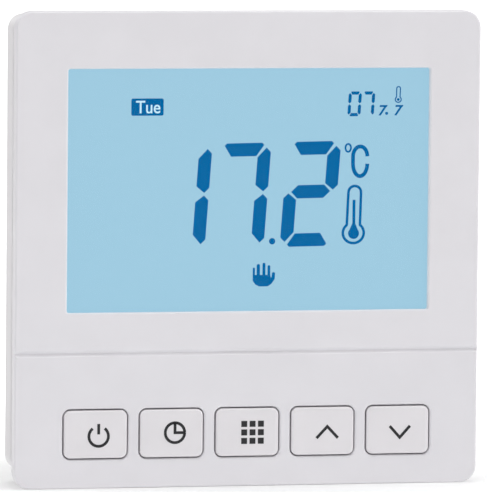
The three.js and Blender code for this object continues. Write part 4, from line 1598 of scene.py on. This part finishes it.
@dataclass
class Studio:
    """The floor, the light round the object and the camera.

    Fields:
        lens: The camera's focal length in millimetres.
        sensor: The width of its sensor in millimetres.
        distance: How far it is from the object's front.
        azimuth: How far it stands to the right of the front, in degrees.
        elevation: How far it stands above the front, in degrees.
        roll: How far it is tilted, in degrees.
        aim: How far it looks past the front's middle, to the right and upwards.
        floor_half: Half the floor's width.
        floor_gap: The gap between the floor and the object.
        floor_white: How much light the floor throws back.
        floor_glow: The floor's own light, as the object sees it.
        floor_seen: The floor's own light, as the camera sees it near the object and far off; the
            low value near the object is painted shade round it, added to its real shadow.
        floor_reach: The distances from the object between which that light grows, which is the
            reach of the painted shade.
        world_level: The light from all round.
    """

    lens: float = 526.4
    sensor: float = 36
    distance: float = 1.3
    azimuth: float = -13.4
    elevation: float = 4.5
    roll: float = 0.52
    aim: Point = (-0.98 * MM, 0.54 * MM)
    floor_half: float = 6
    floor_gap: float = 0.1 * MM
    floor_white: float = 0.7
    floor_glow: float = 0.35
    # Near the object the camera sees little of the floor's own light: painted shade round it, on
    # top of its real shadow.
    floor_seen: Point = (0.05, 0.8)
    floor_reach: Point = (0.03, 0.15)
    world_level: float = 0.25

    def build(self) -> None:
        """Builds the floor, the lights and the camera."""
        self.add_floor()
        self.light_world()
        for lamp in LAMPS:
            lamp.build()
        self.add_camera()

    def add_floor(self) -> None:
        """Lays the floor under the object."""
        low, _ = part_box("front_cover")
        bpy.ops.object.select_all(action="DESELECT")
        level = low.z - self.floor_gap
        bpy.ops.mesh.primitive_plane_add(size=2 * self.floor_half, location=(0, 0, level))
        floor = name_piece("floor")
        recipe = Recipe("floor")
        white = (self.floor_white, self.floor_white, self.floor_white, 1)
        recipe.set(Base_Color=white, Roughness=0.9, Specular_IOR_Level=0)
        recipe.set(Emission_Color=(1, 1, 1, 1))
        recipe.link(self.floor_light(recipe), "Emission Strength")
        floor.data.materials.append(recipe.material)

    def floor_light(self, recipe: Recipe) -> Socket:
        """Gives the floor's own light, which the camera sees grow away from the object, so that the
        floor near the object is painted darker as shade.
        """
        distance = recipe.tree.nodes.new("ShaderNodeVectorMath")
        distance.operation = "LENGTH"
        recipe.tree.links.new(recipe.coordinates, distance.inputs[0])
        # Less of the floor's own light near the object: painted shade on the floor round it.
        seen = recipe.spread(distance.outputs["Value"], *self.floor_seen)
        for name, reach in zip(("From Min", "From Max"), self.floor_reach):
            seen.node.inputs[name].default_value = reach
        level = recipe.spread(
            recipe.tree.nodes.new("ShaderNodeLightPath").outputs["Is Camera Ray"],
            self.floor_glow,
            self.floor_seen[0],
        )
        recipe.tree.links.new(seen, level.node.inputs["To Max"])
        return level

    def light_world(self) -> None:
        """Lights the scene evenly, with a white background for what looks at it."""
        world = bpy.data.worlds.new("studio")
        world.use_nodes = True
        nodes, links = world.node_tree.nodes, world.node_tree.links
        background = nodes["Background"]
        background.inputs["Color"].default_value = (1, 1, 1, 1)
        path = nodes.new("ShaderNodeLightPath")
        seen = nodes.new("ShaderNodeMath")
        seen.operation = "MAXIMUM"
        links.new(path.outputs["Is Camera Ray"], seen.inputs[0])
        links.new(path.outputs["Is Transmission Ray"], seen.inputs[1])
        level = nodes.new("ShaderNodeMapRange")
        level.inputs["To Min"].default_value = self.world_level
        level.inputs["To Max"].default_value = 1
        links.new(seen.outputs["Value"], level.inputs["Value"])
        links.new(level.outputs["Result"], background.inputs["Strength"])
        bpy.context.scene.world = world

    def add_camera(self) -> None:
        """Sets the camera up in front, a little to the left and above."""
        azimuth, elevation = math.radians(self.azimuth), math.radians(self.elevation)
        back = Vector(
            (
                math.sin(azimuth) * math.cos(elevation),
                -math.cos(azimuth) * math.cos(elevation),
                math.sin(elevation),
            )
        )
        right = Vector((0, 0, 1)).cross(back).normalized()
        above = back.cross(right)
        turn = Matrix.Rotation(math.radians(self.roll), 3, back)
        right, above = turn @ right, turn @ above
        target = Vector((0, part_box("front_cover")[0].y, 0))
        data = bpy.data.cameras.new("camera")
        data.lens = self.lens
        data.sensor_width = self.sensor
        data.clip_start = 0.01
        camera = bpy.data.objects.new("camera", data)
        axes = Matrix((right, above, back)).transposed().to_4x4()
        spot = target + back * self.distance + right * self.aim[0] + above * self.aim[1]
        camera.matrix_world = Matrix.Translation(spot) @ axes
        bpy.context.scene.collection.objects.link(camera)
        bpy.context.scene.camera = camera


def main() -> None:
    """Builds the looks in order."""
    logging.basicConfig(level=logging.INFO, format="%(name)s: %(message)s")
    bpy.context.scene.view_settings.view_transform = "Standard"
    FrontCover().build()
    Keypad().build()
    Display().build()
    for part in INNER_PARTS:
        part.build()
    dress_solids()
    Studio().build()


if __name__ == "__main__":
    main()
